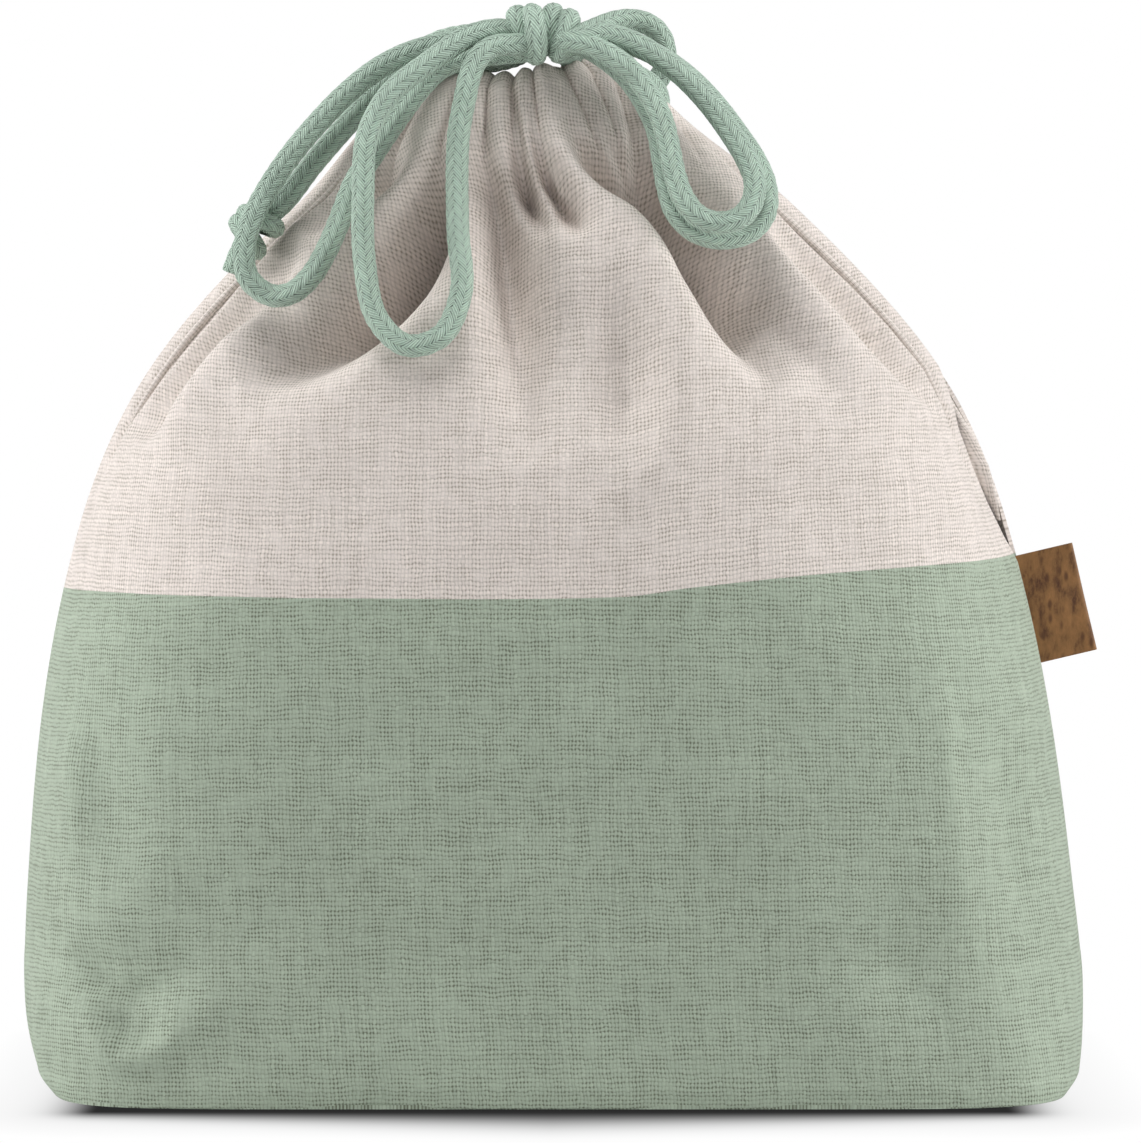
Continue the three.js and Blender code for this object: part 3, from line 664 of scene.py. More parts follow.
def noise(tree, place, scale, detail, output=0, roughness=0.5):
    """Adds a noise texture."""
    inputs = {"Vector": place, "Scale": scale, "Detail": detail, "Roughness": roughness}
    return add_node(tree, "ShaderNodeTexNoise", inputs, output)


def colour_ramp(tree, share, dark, middle, bright):
    """Adds a ramp through three stops, each given as its place and its colour."""
    ramp = add_node(tree, "ShaderNodeValToRGB", {0: share})
    stops = ramp.node.color_ramp.elements
    for i, (place, tint) in enumerate((dark, bright)):
        stops[i].position = place
        stops[i].color = tint
    stops.new(middle[0]).color = middle[1]
    return ramp


def finish_surface(tree, tint, bump, roughness, specular, sheen=0.0):
    """Adds the surface of a material and its output."""
    inputs = {"Base Color": tint, "Normal": bump, "Roughness": roughness}
    inputs |= {"Specular IOR Level": specular, "Sheen Weight": sheen}
    surface = add_node(tree, "ShaderNodeBsdfPrincipled", inputs)
    add_node(tree, "ShaderNodeOutputMaterial", {"Surface": surface})


def new_material(name):
    """An empty material with its node tree."""
    material = bpy.data.materials.get(name) or bpy.data.materials.new(name)
    material.use_nodes = True
    material.node_tree.nodes.clear()
    return material, material.node_tree


def seen_rays(tree):
    """1 for rays from the camera, also by way of a reflection or through glass, and 0 for light."""
    rays = add_node(tree, "ShaderNodeLightPath").node.outputs
    mirrored = maths(tree, "MAXIMUM", rays["Is Glossy Ray"], rays["Is Transmission Ray"])
    return maths(tree, "MAXIMUM", rays["Is Camera Ray"], mirrored)


def shade(tint, factor):
    """A linear colour made darker or brighter, with its alpha."""
    return tuple(min(c * factor, 1) for c in tint) + (1,)


# Light that comes back out of a pin-hole has met the thread twice, so it is warmer than the cloth
# The dark colour of the pin-holes is painted shade, warmed by these factors
PIN_HOLE_WARMTH = (1.03, 1.0, 0.9)


def woven_cotton(name, tint, pitches, hole_shade):
    """Plain weave cotton canvas. Warp and weft lie over each other in turn: a thread is round
    across, and its neighbours press it down at both ends of each float; its colour is painted
    lighter where it stands high, as painted shading. Slubs and uneven dye give single threads and
    crossings their own tone, and pin-holes of uneven size are painted dark between them with
    painted shade."""
    if name in bpy.data.materials:
        return bpy.data.materials[name]
    material, tree = new_material(name)
    place = add_node(tree, "ShaderNodeUVMap", uv_map="weave")
    bent = place
    for reach, share in ((11 * MM, 1.3), (2.4 * MM, 0.85)):
        wander = noise(tree, place, 1 / reach, 2.0, output=1)
        by = tuple(share * pitch for pitch in pitches) + (0,)
        bent = add_node(tree, "ShaderNodeVectorMath", {0: wander, 1: by, 2: bent}, operation="MULTIPLY_ADD")
    per_metre = tuple(1 / pitch for pitch in pitches) + (1,)
    threads = add_node(tree, "ShaderNodeVectorMath", {0: bent, 1: per_metre}, operation="MULTIPLY")
    warp_at = add_node(tree, "ShaderNodeSeparateXYZ", {0: threads})
    weft_at = warp_at.node.outputs[1]
    waves, profiles, tones, slubs = [], [], [], []
    for at, long_grain in ((warp_at, (0.9, 0.07, 1)), (weft_at, (0.07, 0.9, 1))):
        turned = maths(tree, "MULTIPLY", at, math.pi)
        wave = maths(tree, "SINE", turned)
        waves.append(wave)
        profiles.append(maths(tree, "ABSOLUTE", wave))
        number = maths(tree, "FLOOR", at)
        tones.append(add_node(tree, "ShaderNodeTexWhiteNoise", {"W": number}, noise_dimensions="1D"))
        grain = add_node(tree, "ShaderNodeMapping", {"Vector": threads, "Scale": long_grain})
        slubs.append(noise(tree, grain, 1.0, 2.0))
    crossing = maths(tree, "MULTIPLY", waves[0], waves[1])
    over = maths(tree, "GREATER_THAN", crossing, 0.0)
    floats = []
    for own, other in (profiles, profiles[::-1]):
        pressed = maths(tree, "MULTIPLY_ADD", other, 0.5, 0.5)
        floats.append(maths(tree, "MULTIPLY", own, pressed))
    height, tone, slub = (
        add_node(tree, "ShaderNodeMix", {0: over, 2: pair[1], 3: pair[0]}, data_type="FLOAT")
        for pair in (floats, tones, slubs)
    )
    loose = noise(tree, threads, 0.24, 3.0)
    open_by = map_range(tree, loose, 0.36, 0.66, 0.0, -1.0)
    # Pin-holes where the gaps between threads cross are painted dark: painted shade, deeper where the weave
    # is looser
    gaps = [maths(tree, "SUBTRACT", 1.0, profile) for profile in profiles]
    hole = maths(tree, "MULTIPLY", gaps[0], gaps[1])
    pierced = maths(tree, "MULTIPLY", hole, open_by)
    spun = maths(tree, "MULTIPLY_ADD", tone, 0.12, pierced)
    slubbed = maths(tree, "MULTIPLY_ADD", slub, 0.58, spun)
    # A thread's height lightens its colour: painted shading of its round crown
    lit = maths(tree, "MULTIPLY_ADD", height, 0.34, slubbed)
    patches = noise(tree, place, 1 / (30 * MM), 4.0)
    mottled = maths(tree, "MULTIPLY_ADD", patches, 0.2, lit)
    # Darkest stop: the painted shade of the pin-holes, warmed
    deep = shade(tuple(c * w for c, w in zip(tint, PIN_HOLE_WARMTH)), hole_shade)
    ramp = colour_ramp(tree, mottled, (0.1, deep), (0.56, shade(tint, 1.0)), (0.9, shade(tint, 1.26)))
    fuzz = noise(tree, threads, 3.0, 2.0)
    rough = maths(tree, "MULTIPLY_ADD", fuzz, 0.3, height)
    bump = add_node(tree, "ShaderNodeBump", {"Height": rough, "Distance": 0.16 * MM, "Strength": 0.4})
    finish_surface(tree, ramp, bump, roughness=0.95, specular=0.12, sheen=0.12)
    return material


# Braided cord: eight columns of slanted strands, which lean to and fro in turn
BRAID_COLUMNS = 8
BRAID_SLANT = 0.75
POINTS_PER_COLUMN = 6
RING_STEP = 0.42 * MM
# Core of the cord and height of its strands as shares of the radius, the power that fills a
# strand's profile, and the share of its height that a strand keeps at the border of its column
BRAID_CORE = 0.88
BRAID_HEIGHT = 0.14
BRAID_FILL = 0.35
BORDER_HEIGHT = 0.6
BORDER_WIDTH = 0.12
# Points per span of a route's curve, and the fewest rings of a cord
CURVE_STEPS = 40
FEWEST_RINGS = 8
# Direction from which the braid's first column is turned
BRAID_START = (0.2, 1, 0.1)


def braided_cotton(name, tint):
    """Braided cotton cord. Each strand is a flat bundle of four yarns that shows as a slanted
    stretch in its column and dives under the next column at both ends. Its colour holds painted
    shade: dark between the strands, darkest where they dive at a column's border, and darker
    between the yarns than on their crowns."""
    if name in bpy.data.materials:
        return bpy.data.materials[name]
    material, tree = new_material(name)
    place = add_node(tree, "ShaderNodeUVMap", uv_map="braid")
    column_at = add_node(tree, "ShaderNodeSeparateXYZ", {0: place})
    along = column_at.node.outputs[1]
    column = maths(tree, "FLOOR", column_at)
    inside = maths(tree, "FRACT", column_at)
    centred = maths(tree, "SUBTRACT", inside, 0.5)
    odd = maths(tree, "MODULO", column, 2.0)
    lean = maths(tree, "MULTIPLY_ADD", odd, -2 * BRAID_SLANT, BRAID_SLANT)
    slanted = maths(tree, "MULTIPLY_ADD", centred, lean, along)
    phase = maths(tree, "MULTIPLY_ADD", odd, 0.5, slanted)
    profiles = []
    for count in (1, 4):
        turned = maths(tree, "MULTIPLY", phase, count * math.pi)
        wave = maths(tree, "SINE", turned)
        profiles.append(maths(tree, "ABSOLUTE", wave))
    strand, yarn = profiles
    # Painted shade between the strands, deepest towards a column's border where a strand dives
    firm = maths(tree, "POWER", strand, 0.3)
    aside = maths(tree, "ABSOLUTE", centred)
    dive = map_range(tree, aside, 0.1, 0.5, 0.3, 1.25)
    rise = maths(tree, "SUBTRACT", firm, 1.0)
    bundle = maths(tree, "MULTIPLY_ADD", rise, dive, 1.0)
    # Painted shading of the yarns: lighter on their crowns, darker between them
    full = maths(tree, "POWER", yarn, 1.2)
    yarns = maths(tree, "MULTIPLY_ADD", full, 0.7, bundle)
    number = maths(tree, "FLOOR", phase)
    strand_at = add_node(tree, "ShaderNodeCombineXYZ", {0: column, 1: number})
    tone = add_node(tree, "ShaderNodeTexWhiteNoise", {"Vector": strand_at}, noise_dimensions="2D")
    toned = maths(tree, "MULTIPLY_ADD", tone, 0.2, yarns)
    fuzz = noise(tree, place, 6.0, 3.0)
    spun = maths(tree, "MULTIPLY_ADD", fuzz, 0.3, toned)
    share = maths(tree, "MULTIPLY", spun, 0.48)
    # The darkest stop is the painted shade between the strands
    deep, plain, bright = (shade(tint, factor) for factor in (0.16, 0.9, 1.26))
    ramp = colour_ramp(tree, share, (0.28, deep), (0.7, plain), (1.0, bright))
    bump = add_node(tree, "ShaderNodeBump", {"Height": spun, "Distance": 0.45 * MM, "Strength": 0.8})
    finish_surface(tree, ramp, bump, roughness=0.9, specular=0.18, sheen=0.15)
    return material


def cork_fabric(name, tint, dark):
    """Cork fabric: thin shavings pressed on cloth, with flecks of bark and a waxed surface."""
    material, tree = new_material(name)
    place = add_node(tree, "ShaderNodeTexCoord", output=3)
    grain = add_node(tree, "ShaderNodeMapping", {"Vector": place, "Scale": (1.0, 1.0, 0.45)})
    flakes = noise(tree, grain, 1 / (2.6 * MM), 5.0, roughness=0.7)
    fleck_inputs = {"Vector": grain, "Scale": 1 / (2.2 * MM), "Randomness": 1.0}
    flecks = add_node(tree, "ShaderNodeTexVoronoi", fleck_inputs)
    veins = shade(dark, 1.0)
    ramp = colour_ramp(tree, flakes, (0.34, veins), (0.5, shade(tint, 1.0)), (0.74, shade(tint, 1.5)))
    bark = map_range(tree, flecks, 0.12, 0.3, 0.8, 0.0)
    mixed = add_node(tree, "ShaderNodeMix", {0: bark, 6: ramp, 7: veins}, 2, data_type="RGBA")
    bump = add_node(tree, "ShaderNodeBump", {"Height": flakes, "Distance": 0.25 * MM, "Strength": 0.5})
    finish_surface(tree, mixed, bump, roughness=0.6, specular=0.3)
    return material


def cloth_material(context, lower):
    """The sage cloth of the lower panels or the natural cloth of the upper ones."""
    cloth = context.scene.bag_cloth
    pitches = (cloth.warp_pitch, cloth.weft_pitch)
    if lower:
        return woven_cotton("sage_cotton_plain_weave", tuple(cloth.sage), pitches, 0.4)
    return woven_cotton("natural_cotton_plain_weave", tuple(cloth.natural), pitches, 0.56)


# Rows and columns of the cloth grids
CLOTH_COLUMNS = 300
UPPER_ROWS = 130
LOWER_ROWS = 100
CASING_FRONT_ROWS = 22
CASING_LIP_ROWS = 12
CASING_BACK_ROWS = 16
HEM_ROWS = 90
HEM_AROUND = 28
BASE_ROWS = 61
BASE_COLUMNS = 121

# Rise of the drawn edge per rise of a pleat and its limits, and the depth of the casing's inner
# layer at its foot, as shares
SCALLOP = 0.05 / MM
SCALLOP_LEAST = 0.9
SCALLOP_MOST = 1.12
INNER_FOOT = 0.3
# Crowding of the lower panel's rows towards its foot, the heights of that foot and of the bottom
# cloth, and the share of the base that the bottom cloth spans
ROW_CROWDING = 1.6
PANEL_FOOT = 0.5 * MM
BASE_HEIGHT = 0.2 * MM
BASE_SPAN = 0.985

# The seam's climb from the left side seam to the right one, as shares
SEAM_PLACES = np.array([-1, -0.3, 0.13, 0.245, 0.445, 0.57, 1])
SEAM_CLIMB = np.array([0.1, 0, 0.04, 0.27, 0.58, 0.71, 1])


def seam_height(shape, s):
    """Height of the line where the two cloths meet. It climbs towards the right side seam."""
    return shape.seam_height + shape.seam_rise * through_stations(s, SEAM_PLACES, SEAM_CLIMB)


def folded_wall(shape, side, s, z):
    """The plain wall, the wall with its folds, the directions out and the rise of the folds."""
    plain = laid_wall(shape, side, s, z)
    out = grid_normals(plain)
    out *= np.sign(out[..., 1:2].mean()) * side
    relief = cloth_relief(shape, side, s, plain[..., 0], z)
    return plain, plain + out * relief[..., None], out, relief


def upper_cloth(shape, cloth, side):
    """Panel and casing of one side of the upper cloth. The panel runs up the folded wall. The
    casing goes on from it, turns over the drawn edge in a half circle and comes down inside."""
    share = np.linspace(-1, 1, CLOTH_COLUMNS)[None, :]
    foot, top = casing_foot(shape, share), casing_top(shape, share)
    low = seam_height(shape, share)
    climb = np.linspace(0, 1, UPPER_ROWS)[:, None]
    lip = shape.casing_depth / 2
    front = np.linspace(0, 1, CASING_FRONT_ROWS)[1:, None]
    z = np.concatenate([low + (foot - low) * climb, foot + (top - lip - foot) * front])
    plain, skin, out, relief = folded_wall(shape, side, share + 0 * z, z)
    head = skin[-1]
    up = unit(plain[-1] - plain[-3])
    back = -unit(out[-1] - up * np.sum(out[-1] * up, axis=-1, keepdims=True))
    scallop = np.clip(1 + SCALLOP * relief[-1][:, None], SCALLOP_LEAST, SCALLOP_MOST)
    turn = np.linspace(0, np.pi, CASING_LIP_ROWS)[1:, None, None]
    over = head + up * lip * scallop * np.sin(turn) + back * lip * (1 - np.cos(turn))
    casing_front = skin[UPPER_ROWS - 1 :]
    steps = np.linspace(1, 0, CASING_BACK_ROWS)[1:, None]
    picks = np.clip(np.round(steps[:, 0] * (len(casing_front) - 1)).astype(int), 0, len(casing_front) - 1)
    inside_depth = shape.casing_depth * (INNER_FOOT + (1 - INNER_FOOT) * np.sqrt(steps))[..., None]
    inside = casing_front[picks] + back * inside_depth
    loop = np.concatenate([casing_front, over, inside])
    uv = arc_uv(np.concatenate([plain, over, inside]))
    panel = skin[:UPPER_ROWS]
    panel_inner = panel - out[:UPPER_ROWS] * cloth.thickness
    wrapped = np.concatenate([loop[-1:], loop, loop[:1]])
    loop_out = grid_normals(wrapped)[1:-1]
    loop_out *= np.sign(np.sum(loop_out[:4] * out[UPPER_ROWS - 1 : UPPER_ROWS + 3]))
    bore = loop - loop_out * cloth.thickness
    panel_shape = closed_sheet(panel, panel_inner, uv[:UPPER_ROWS])
    return panel_shape, closed_sheet(loop, bore, uv[UPPER_ROWS - 1 :], rows_meet=True)


def make_cloth(name, shape, material):
    """Puts a cloth shape into the scene, in place of the node of its name."""
    return make_piece(f"{name}_cloth", shape, material, "weave", "bag", [name])


class BAG_OT_upper_cloth(Operator):
    """Makes the gathered upper panels with their casings and slit hems"""

    bl_idname = "bag.upper_cloth"
    bl_label = "Upper cloth"

    def execute(self, context):
        shape, cloth = context.scene.bag_shape, context.scene.bag_cloth
        material = cloth_material(context, lower=False)
        for word, side in (("front", FRONT), ("back", BACK)):
            panel_shape, casing_shape = upper_cloth(shape, cloth, side)
            panel = make_cloth(f"{word}_upper_panel", panel_shape, material)
            casing = make_cloth(f"{word}_casing", casing_shape, material)
            for hand_word, hand in (("left", LEFT), ("right", RIGHT)):
                strip = slit_hem(shape, side, hand)
                make_cloth(f"{hand_word}_{word}_slit_hem", strip, material)
        return {"FINISHED"}


# Slit hem: its start below the slit, the length over which it thickens, its least thickness, the
# powers that square its outline, its stitch groove (depth, place and width) and its distance
# behind the panel
HEM_BELOW = 6 * MM
HEM_TAPER = 14 * MM
HEM_LEAST = 0.35
HEM_POWERS = (0.6, 0.7)
GROOVE = (0.45, 0.45, 0.16)
HEM_BEHIND = 0.7 * MM


def slit_hem(shape, side, hand):
    """Turned edge beside a slit: a rounded flat strip that lies inside the edge of the panel, with
    a groove along its stitch row."""
    z = np.linspace(shape.slit_start - HEM_BELOW, casing_foot(shape, hand), HEM_ROWS)
    chord = np.linalg.norm(wall(shape, side, 1, z) - wall(shape, side, 0, z), axis=-1)
    share = shape.hem_width / chord
    outer = laid_wall(shape, side, np.full(HEM_ROWS, float(hand)), z)
    inner = laid_wall(shape, side, hand * (1 - 0.8 * share), z)
    across = unit(inner - outer)
    along = unit(np.gradient(outer, axis=0))
    out = unit(np.cross(across, along))
    out *= np.sign(out[:, 1:2]) * side
    taper = smoothstep(z, z[0] - 1 * MM, z[0] + HEM_TAPER)[:, None]
    angle = np.linspace(0, 2 * np.pi, HEM_AROUND, endpoint=False)
    wide, thick = (
        np.sign(wave) * np.abs(wave) ** power
        for wave, power in zip((np.cos(angle), np.sin(angle)), HEM_POWERS)
    )
    depth, place, width = GROOVE
    groove = 1 - depth * np.exp(-(((wide - place) / width) ** 2))
    half_width = shape.hem_width / 2
    half_thickness = shape.hem_thickness / 2
    middle = outer + across * half_width - out * (half_thickness + HEM_BEHIND)
    swell = HEM_LEAST + (1 - HEM_LEAST) * taper
    rings = (
        middle[:, None]
        + across[:, None] * (half_width * wide)[None, :, None]
        + out[:, None] * (half_thickness * thick * groove)[None, :, None] * swell[:, None]
    )
    ring_uv = np.linspace(0, 2 * shape.hem_width + 2 * shape.hem_thickness, HEM_AROUND + 1)
    return loft(rings, ring_uv, run_length(outer))


def lower_panel(shape, cloth, side):
    """Lower panel from the base edge to the seam, with closer rows where it turns under."""
    share = np.linspace(-1, 1, CLOTH_COLUMNS)[None, :]
    climb = np.linspace(0, 1, LOWER_ROWS)[:, None] ** ROW_CROWDING
    z = PANEL_FOOT + (seam_height(shape, share) - PANEL_FOOT) * climb
    plain, skin, out, _ = folded_wall(shape, side, share + 0 * z, z)
    return closed_sheet(skin, skin - out * cloth.thickness, arc_uv(plain))


def base_sheet(shape, cloth):
    """Bottom cloth: straight lines from the front outline to the back one."""
    s = np.linspace(-BASE_SPAN, BASE_SPAN, BASE_COLUMNS)[None, :]
    t = np.linspace(0, 1, BASE_ROWS)[:, None]
    front = wall(shape, FRONT, s, BASE_HEIGHT)
    back = wall(shape, BACK, s, BASE_HEIGHT)
    top = front + (back - front) * t[..., None]
    top[..., 2] = BASE_HEIGHT + cloth.thickness
    under = top.copy()
    under[..., 2] = BASE_HEIGHT
    return closed_sheet(top, under, top[..., :2])


class BAG_OT_lower_cloth(Operator):
    """Makes the lower panels and the bottom cloth"""

    bl_idname = "bag.lower_cloth"
    bl_label = "Lower cloth"

    def execute(self, context):
        shape, cloth = context.scene.bag_shape, context.scene.bag_cloth
        material = cloth_material(context, lower=True)
        for word, side in (("front", FRONT), ("back", BACK)):
            sheet = lower_panel(shape, cloth, side)
            panel = make_cloth(f"{word}_lower_panel", sheet, material)
        base = make_cloth("base_panel", base_sheet(shape, cloth), material)
        return {"FINISHED"}


def even_steps(points):
    """Points a short step apart on a line through the given ones, and the line's length."""
    run = run_length(points)
    places = np.linspace(0, run[-1], max(int(run[-1] / RING_STEP), FEWEST_RINGS))
    return np.stack([np.interp(places, run, points[:, i]) for i in range(3)], axis=-1), run[-1]


def eased(path, reach):
    """The path averaged over a reach with bell-shaped weights, which rounds its bends. The path is
    carried on past its ends by a half turn, so the ends stay."""
    half = int(3 * reach / RING_STEP)
    bell = np.exp(-0.5 * (np.arange(-half, half + 1) * RING_STEP / reach) ** 2)
    before, after = 2 * path[0] - path[half:0:-1], 2 * path[-1] - path[-2 : -half - 2 : -1]
    longer = np.concatenate([before, path, after])
    return np.stack([np.convolve(longer[:, i], bell / bell.sum(), mode="valid") for i in range(3)], axis=-1)


def cord_curve(points, ease=0.0):
    """Points a short step apart on the smooth curve through a route's points, with spans weighted
    by the root of their length, and its length."""
    points = np.asarray(points, float)
    ends = (2 * points[0] - points[1], 2 * points[-1] - points[-2])
    p = np.vstack([ends[0], points, ends[1]])
    weight = np.sqrt(np.linalg.norm(np.diff(p, axis=0), axis=1))[:, None]
    w0, w1, w2 = weight[:-2], weight[1:-1], weight[2:]
    p0, p1, p2, p3 = p[:-3], p[1:-2], p[2:-1], p[3:]
    leave = ((p1 - p0) / w0 - (p2 - p0) / (w0 + w1) + (p2 - p1) / w1) * w1
    arrive = ((p2 - p1) / w1 - (p3 - p1) / (w1 + w2) + (p3 - p2) / w2) * w1
    t = np.linspace(0, 1, CURVE_STEPS, endpoint=False)[None, :, None]
    spans = hermite(t, *(v[:, None] for v in (p1, leave, p2, arrive)))
    dense = np.vstack([spans.reshape(-1, 3), points[-1:]])
    path, length = even_steps(dense)
    return even_steps(eased(path, ease)) if ease else (path, length)


def carried_frames(path, ends_meet=False):
    """Two directions square to the path at each of its points, carried along without twist."""
    closed = np.roll(path, -1, axis=0) - np.roll(path, 1, axis=0)
    tangent = unit(closed if ends_meet else np.gradient(path, axis=0))
    side = np.empty_like(path)
    side[0] = unit(np.cross(tangent[0], BRAID_START))
    for i in range(1, len(path)):
        side[i] = unit(side[i - 1] - tangent[i] * (side[i - 1] @ tangent[i]))
    return side, np.cross(tangent, side)


def braid_rings(path, diameter, pitch, ends_meet=False):
    """Rings of a braided cord. A point's radius falls where its column's strands meet: the phase is
    the length over the pitch plus a slant across the column, and the strand's profile is the
    rounded sine of the phase."""
    side, up = carried_frames(path, ends_meet)
    around = BRAID_COLUMNS * POINTS_PER_COLUMN
    angle = np.linspace(0, 2 * np.pi, around, endpoint=False)
    column_at = np.arange(around) / POINTS_PER_COLUMN
    odd = np.floor(column_at) % 2
    inside = column_at % 1 - 0.5
    run = run_length(path)
    phase = run[:, None] / pitch + (inside * (1 - 2 * odd) * BRAID_SLANT + 0.5 * odd)[None, :]
    strand = np.abs(np.sin(np.pi * phase)) ** BRAID_FILL
    border = np.clip((0.5 - np.abs(inside)) / BORDER_WIDTH, 0, 1)
    kept = BORDER_HEIGHT + (1 - BORDER_HEIGHT) * border
    radius = diameter / 2 * (BRAID_CORE + BRAID_HEIGHT * strand * kept)
    rings = (
        path[:, None]
        + side[:, None] * (radius * np.cos(angle))[..., None]
        + up[:, None] * (radius * np.sin(angle))[..., None]
    )
    ring_uv = np.arange(around + 1) / POINTS_PER_COLUMN
    if ends_meet:
        run = np.append(run, run[-1] + np.linalg.norm(path[-1] - path[0]))
    return loft(rings, ring_uv, run / pitch, ends_meet)


def make_braid(context, name, shape, body):
    """Puts a braided shape into the scene, in place of the node of its name."""
    material = braided_cotton("dyed_cotton_braid", tuple(context.scene.bag_cord.dyed))
    return make_piece(f"{name}_braid", shape, material, "braid", body, [name])


def make_cord(context, name, points, body, ease=0.0):
    finish = context.scene.bag_cord
    path, length = cord_curve(points, ease)
    piece = make_braid(context, name, braid_rings(path, finish.diameter, finish.braid_pitch), body)
    return piece


# Routes of the cords, in millimetres from the middle of the bow knot: first the leads of the
# drawcords, from the knot to the front casing and from the back casing to the knot
LEFT_TO_FRONT = (
    (-3.7, 4, -2.6), (-5.4, 12.5, -3.6), (-9.5, 17.5, -4.4), (-16.5, 19.5, -5.2), (-23.5, 20, -6.8),
    (-30.8, 19.4, -8.2), (-33, 16.8, -12.7), (-29.3, 14.4, -15.6),
)
LEFT_FROM_BACK = (
    (-29.3, 29.2, -15.2), (-32.1, 26.8, -10.6), (-30.9, 25.4, -5), (-26.7, 25, -0.3), (-20.2, 24, 1.5),
    (-13.4, 21, 1.8), (-7.8, 15, 1.6), (-3.7, 5, 1.3),
)
RIGHT_TO_FRONT = (
    (3.7, 4, -2.8), (5, 11.5, -4.6), (8.5, 15.2, -6), (13.5, 17, -6.4), (19.2, 17.5, -7.2),
    (24.5, 17.2, -9.6), (26.2, 15.2, -14.8), (22.8, 12.6, -18.8),
)
RIGHT_FROM_BACK = (
    (24.6, 26.2, -10.5), (27.2, 25.8, -4), (27, 25.2, 1.4), (23.6, 24.6, 5), (18.8, 24, 5.6),
    (14.4, 21, 4.4), (9.9, 16, 1.7), (5.5, 10, -0.2), (2.9, 4, -0.6),
)
LEFT_BOW_LOOP = (
    (-3, -3, -2.6), (-6.9, -4, -3), (-10.9, -5.2, -3.4), (-13.9, -6.6, -5.5), (-15.9, -7.6, -9.4),
    (-17.1, -8.4, -14.7), (-18.4, -9, -21.8), (-18.8, -9.6, -28.3), (-18.6, -12.5, -43.5),
    (-17.8, -17, -57), (-22, -20, -66.4), (-29.3, -20, -68.4), (-35.8, -17.5, -62.5),
    (-38.6, -14, -50.3), (-38.9, -13.5, -35), (-38.1, -11.8, -23.5), (-34.3, -9.6, -15.4),
    (-30.7, -8.6, -11.5), (-26, -7.6, -7.9), (-21.3, -6.6, -4.4), (-16.1, -5, -1.2), (-11.4, -3, 0.2),
    (-7.1, -1.5, 0.3), (-3, -1, 0),
)
RIGHT_FRONT_LOOP = (
    (3.5, -4, -2), (7.7, -5.7, -1.8), (12.4, -5.4, -0.9), (17.4, -5.2, -1.9), (23.2, -5.2, -4.8),
    (29.7, -5.6, -9.7), (35.1, -6.6, -15.4), (40, -8.4, -22.2), (43.6, -10.6, -28.4),
    (45.2, -12.4, -33.2), (44.5, -14, -37.8), (41.7, -15, -41.1), (37.2, -15.2, -42.1),
    (32.9, -15, -40.6), (29.9, -14, -36.9), (28, -12.6, -31.7), (26.8, -11.2, -25.8),
    (25.3, -9.8, -19.7), (22.7, -8.4, -14.3), (18.7, -7.2, -9), (13.7, -6.6, -5.2), (8.3, -6.2, -2.8),
    (3.5, -4, -2.2),
)
RIGHT_BACK_LOOP = (
    (3.5, 0.6, -2.2), (7.7, 0.6, -2), (12.9, 1.6, -1.5), (18.6, 2, -2.3), (24.7, 2, -4.9),
    (31.2, 1.6, -9.5), (36.8, 0.8, -15.2), (42, -0.4, -22.1), (45.9, -2, -28.2), (48, -4, -34),
    (47.7, -6, -39.5), (44.4, -7.8, -43.5), (38.3, -9, -45.1), (32.4, -9.2, -43.6), (28.4, -8.4, -39.6),
    (26.7, -6.8, -34.6), (25.6, -4.8, -28), (24.4, -3, -21.4), (21.8, -1.4, -15.4), (17.8, -0.4, -9.6),
    (12.9, 0.2, -5.4), (8.3, 0.5, -2.8), (3.5, 0.6, -2.2),
)
LEFT_TAIL_LOOP = (
    (-3, 3, -1.4), (-7.2, 4, -1.5), (-12, 5, -1.4), (-18.1, 5.4, -1.4), (-24, 5, -2.3),
    (-30.5, 4.4, -4.3), (-37, 4, -7.8), (-43.5, 3.4, -13.1), (-49.6, 2.4, -19.5), (-55.7, 1, -27),
    (-60.7, -2, -35), (-63.6, -5.5, -41.5), (-65, -6.8, -48), (-64.1, -6.5, -53.5),
    (-59.5, -6.6, -57.2), (-54.8, -7, -56.9), (-50.6, -7.5, -53.4), (-47.5, -6.6, -48.2),
    (-44.8, -5, -42), (-41.2, -3, -32.6), (-37.8, -1.6, -27.3), (-34.7, -0.6, -22.5),
    (-31.1, 0.6, -17.2), (-27.2, 2, -11.9), (-22.9, 3.2, -7.6), (-17.4, 4, -5.2), (-12, 4.4, -4.4),
    (-7.2, 4, -4), (-3, 3, -3.6),
)
LEFT_TAIL_STRAND = (
    (-4.5, 6, -2), (-8.8, 8.5, -2.8), (-14.3, 10.6, -3.3), (-23.1, 11, -4.1), (-30.8, 10.8, -7.6),
    (-38.1, 10.2, -13.4), (-44.6, 9, -20.5), (-51.1, 7, -28.3), (-56.9, 5, -36.1), (-62.6, 3.8, -41.2),
)
# The strand's end knot, the angle at which it lies and the cut end of cord behind it
END_KNOT_PLACE = (-63.6, 3.6, -42.4)
END_KNOT_HEADING = math.radians(129)
CUT_END = ((1, 0, 0), (4, 0.3, 0.4), (7.5, 1, 1.2), (10.5, 1.4, 2.2))
# Turns of cord in both knots: middle and radius in millimetres, and how far a turn leans
# sideways per height and per depth
BOW_KNOT_TURNS = (
    ((-5.4, 1.2, 0.3), 3.4, -0.16, 0.1),
    ((-2.4, -1.2, -0.5), 4.3, -0.1, -0.12),
    ((1.5, 1.4, 0.8), 3.4, 0.1, 0.1),
    ((4.2, -0.6, -0.8), 3.6, 0.3, -0.1),
)
END_KNOT_TURNS = (((-2.2, 0, 0), 3.4, -0.25, 0.1), ((2.2, 0, 0), 3.4, 0.3, 0.1))
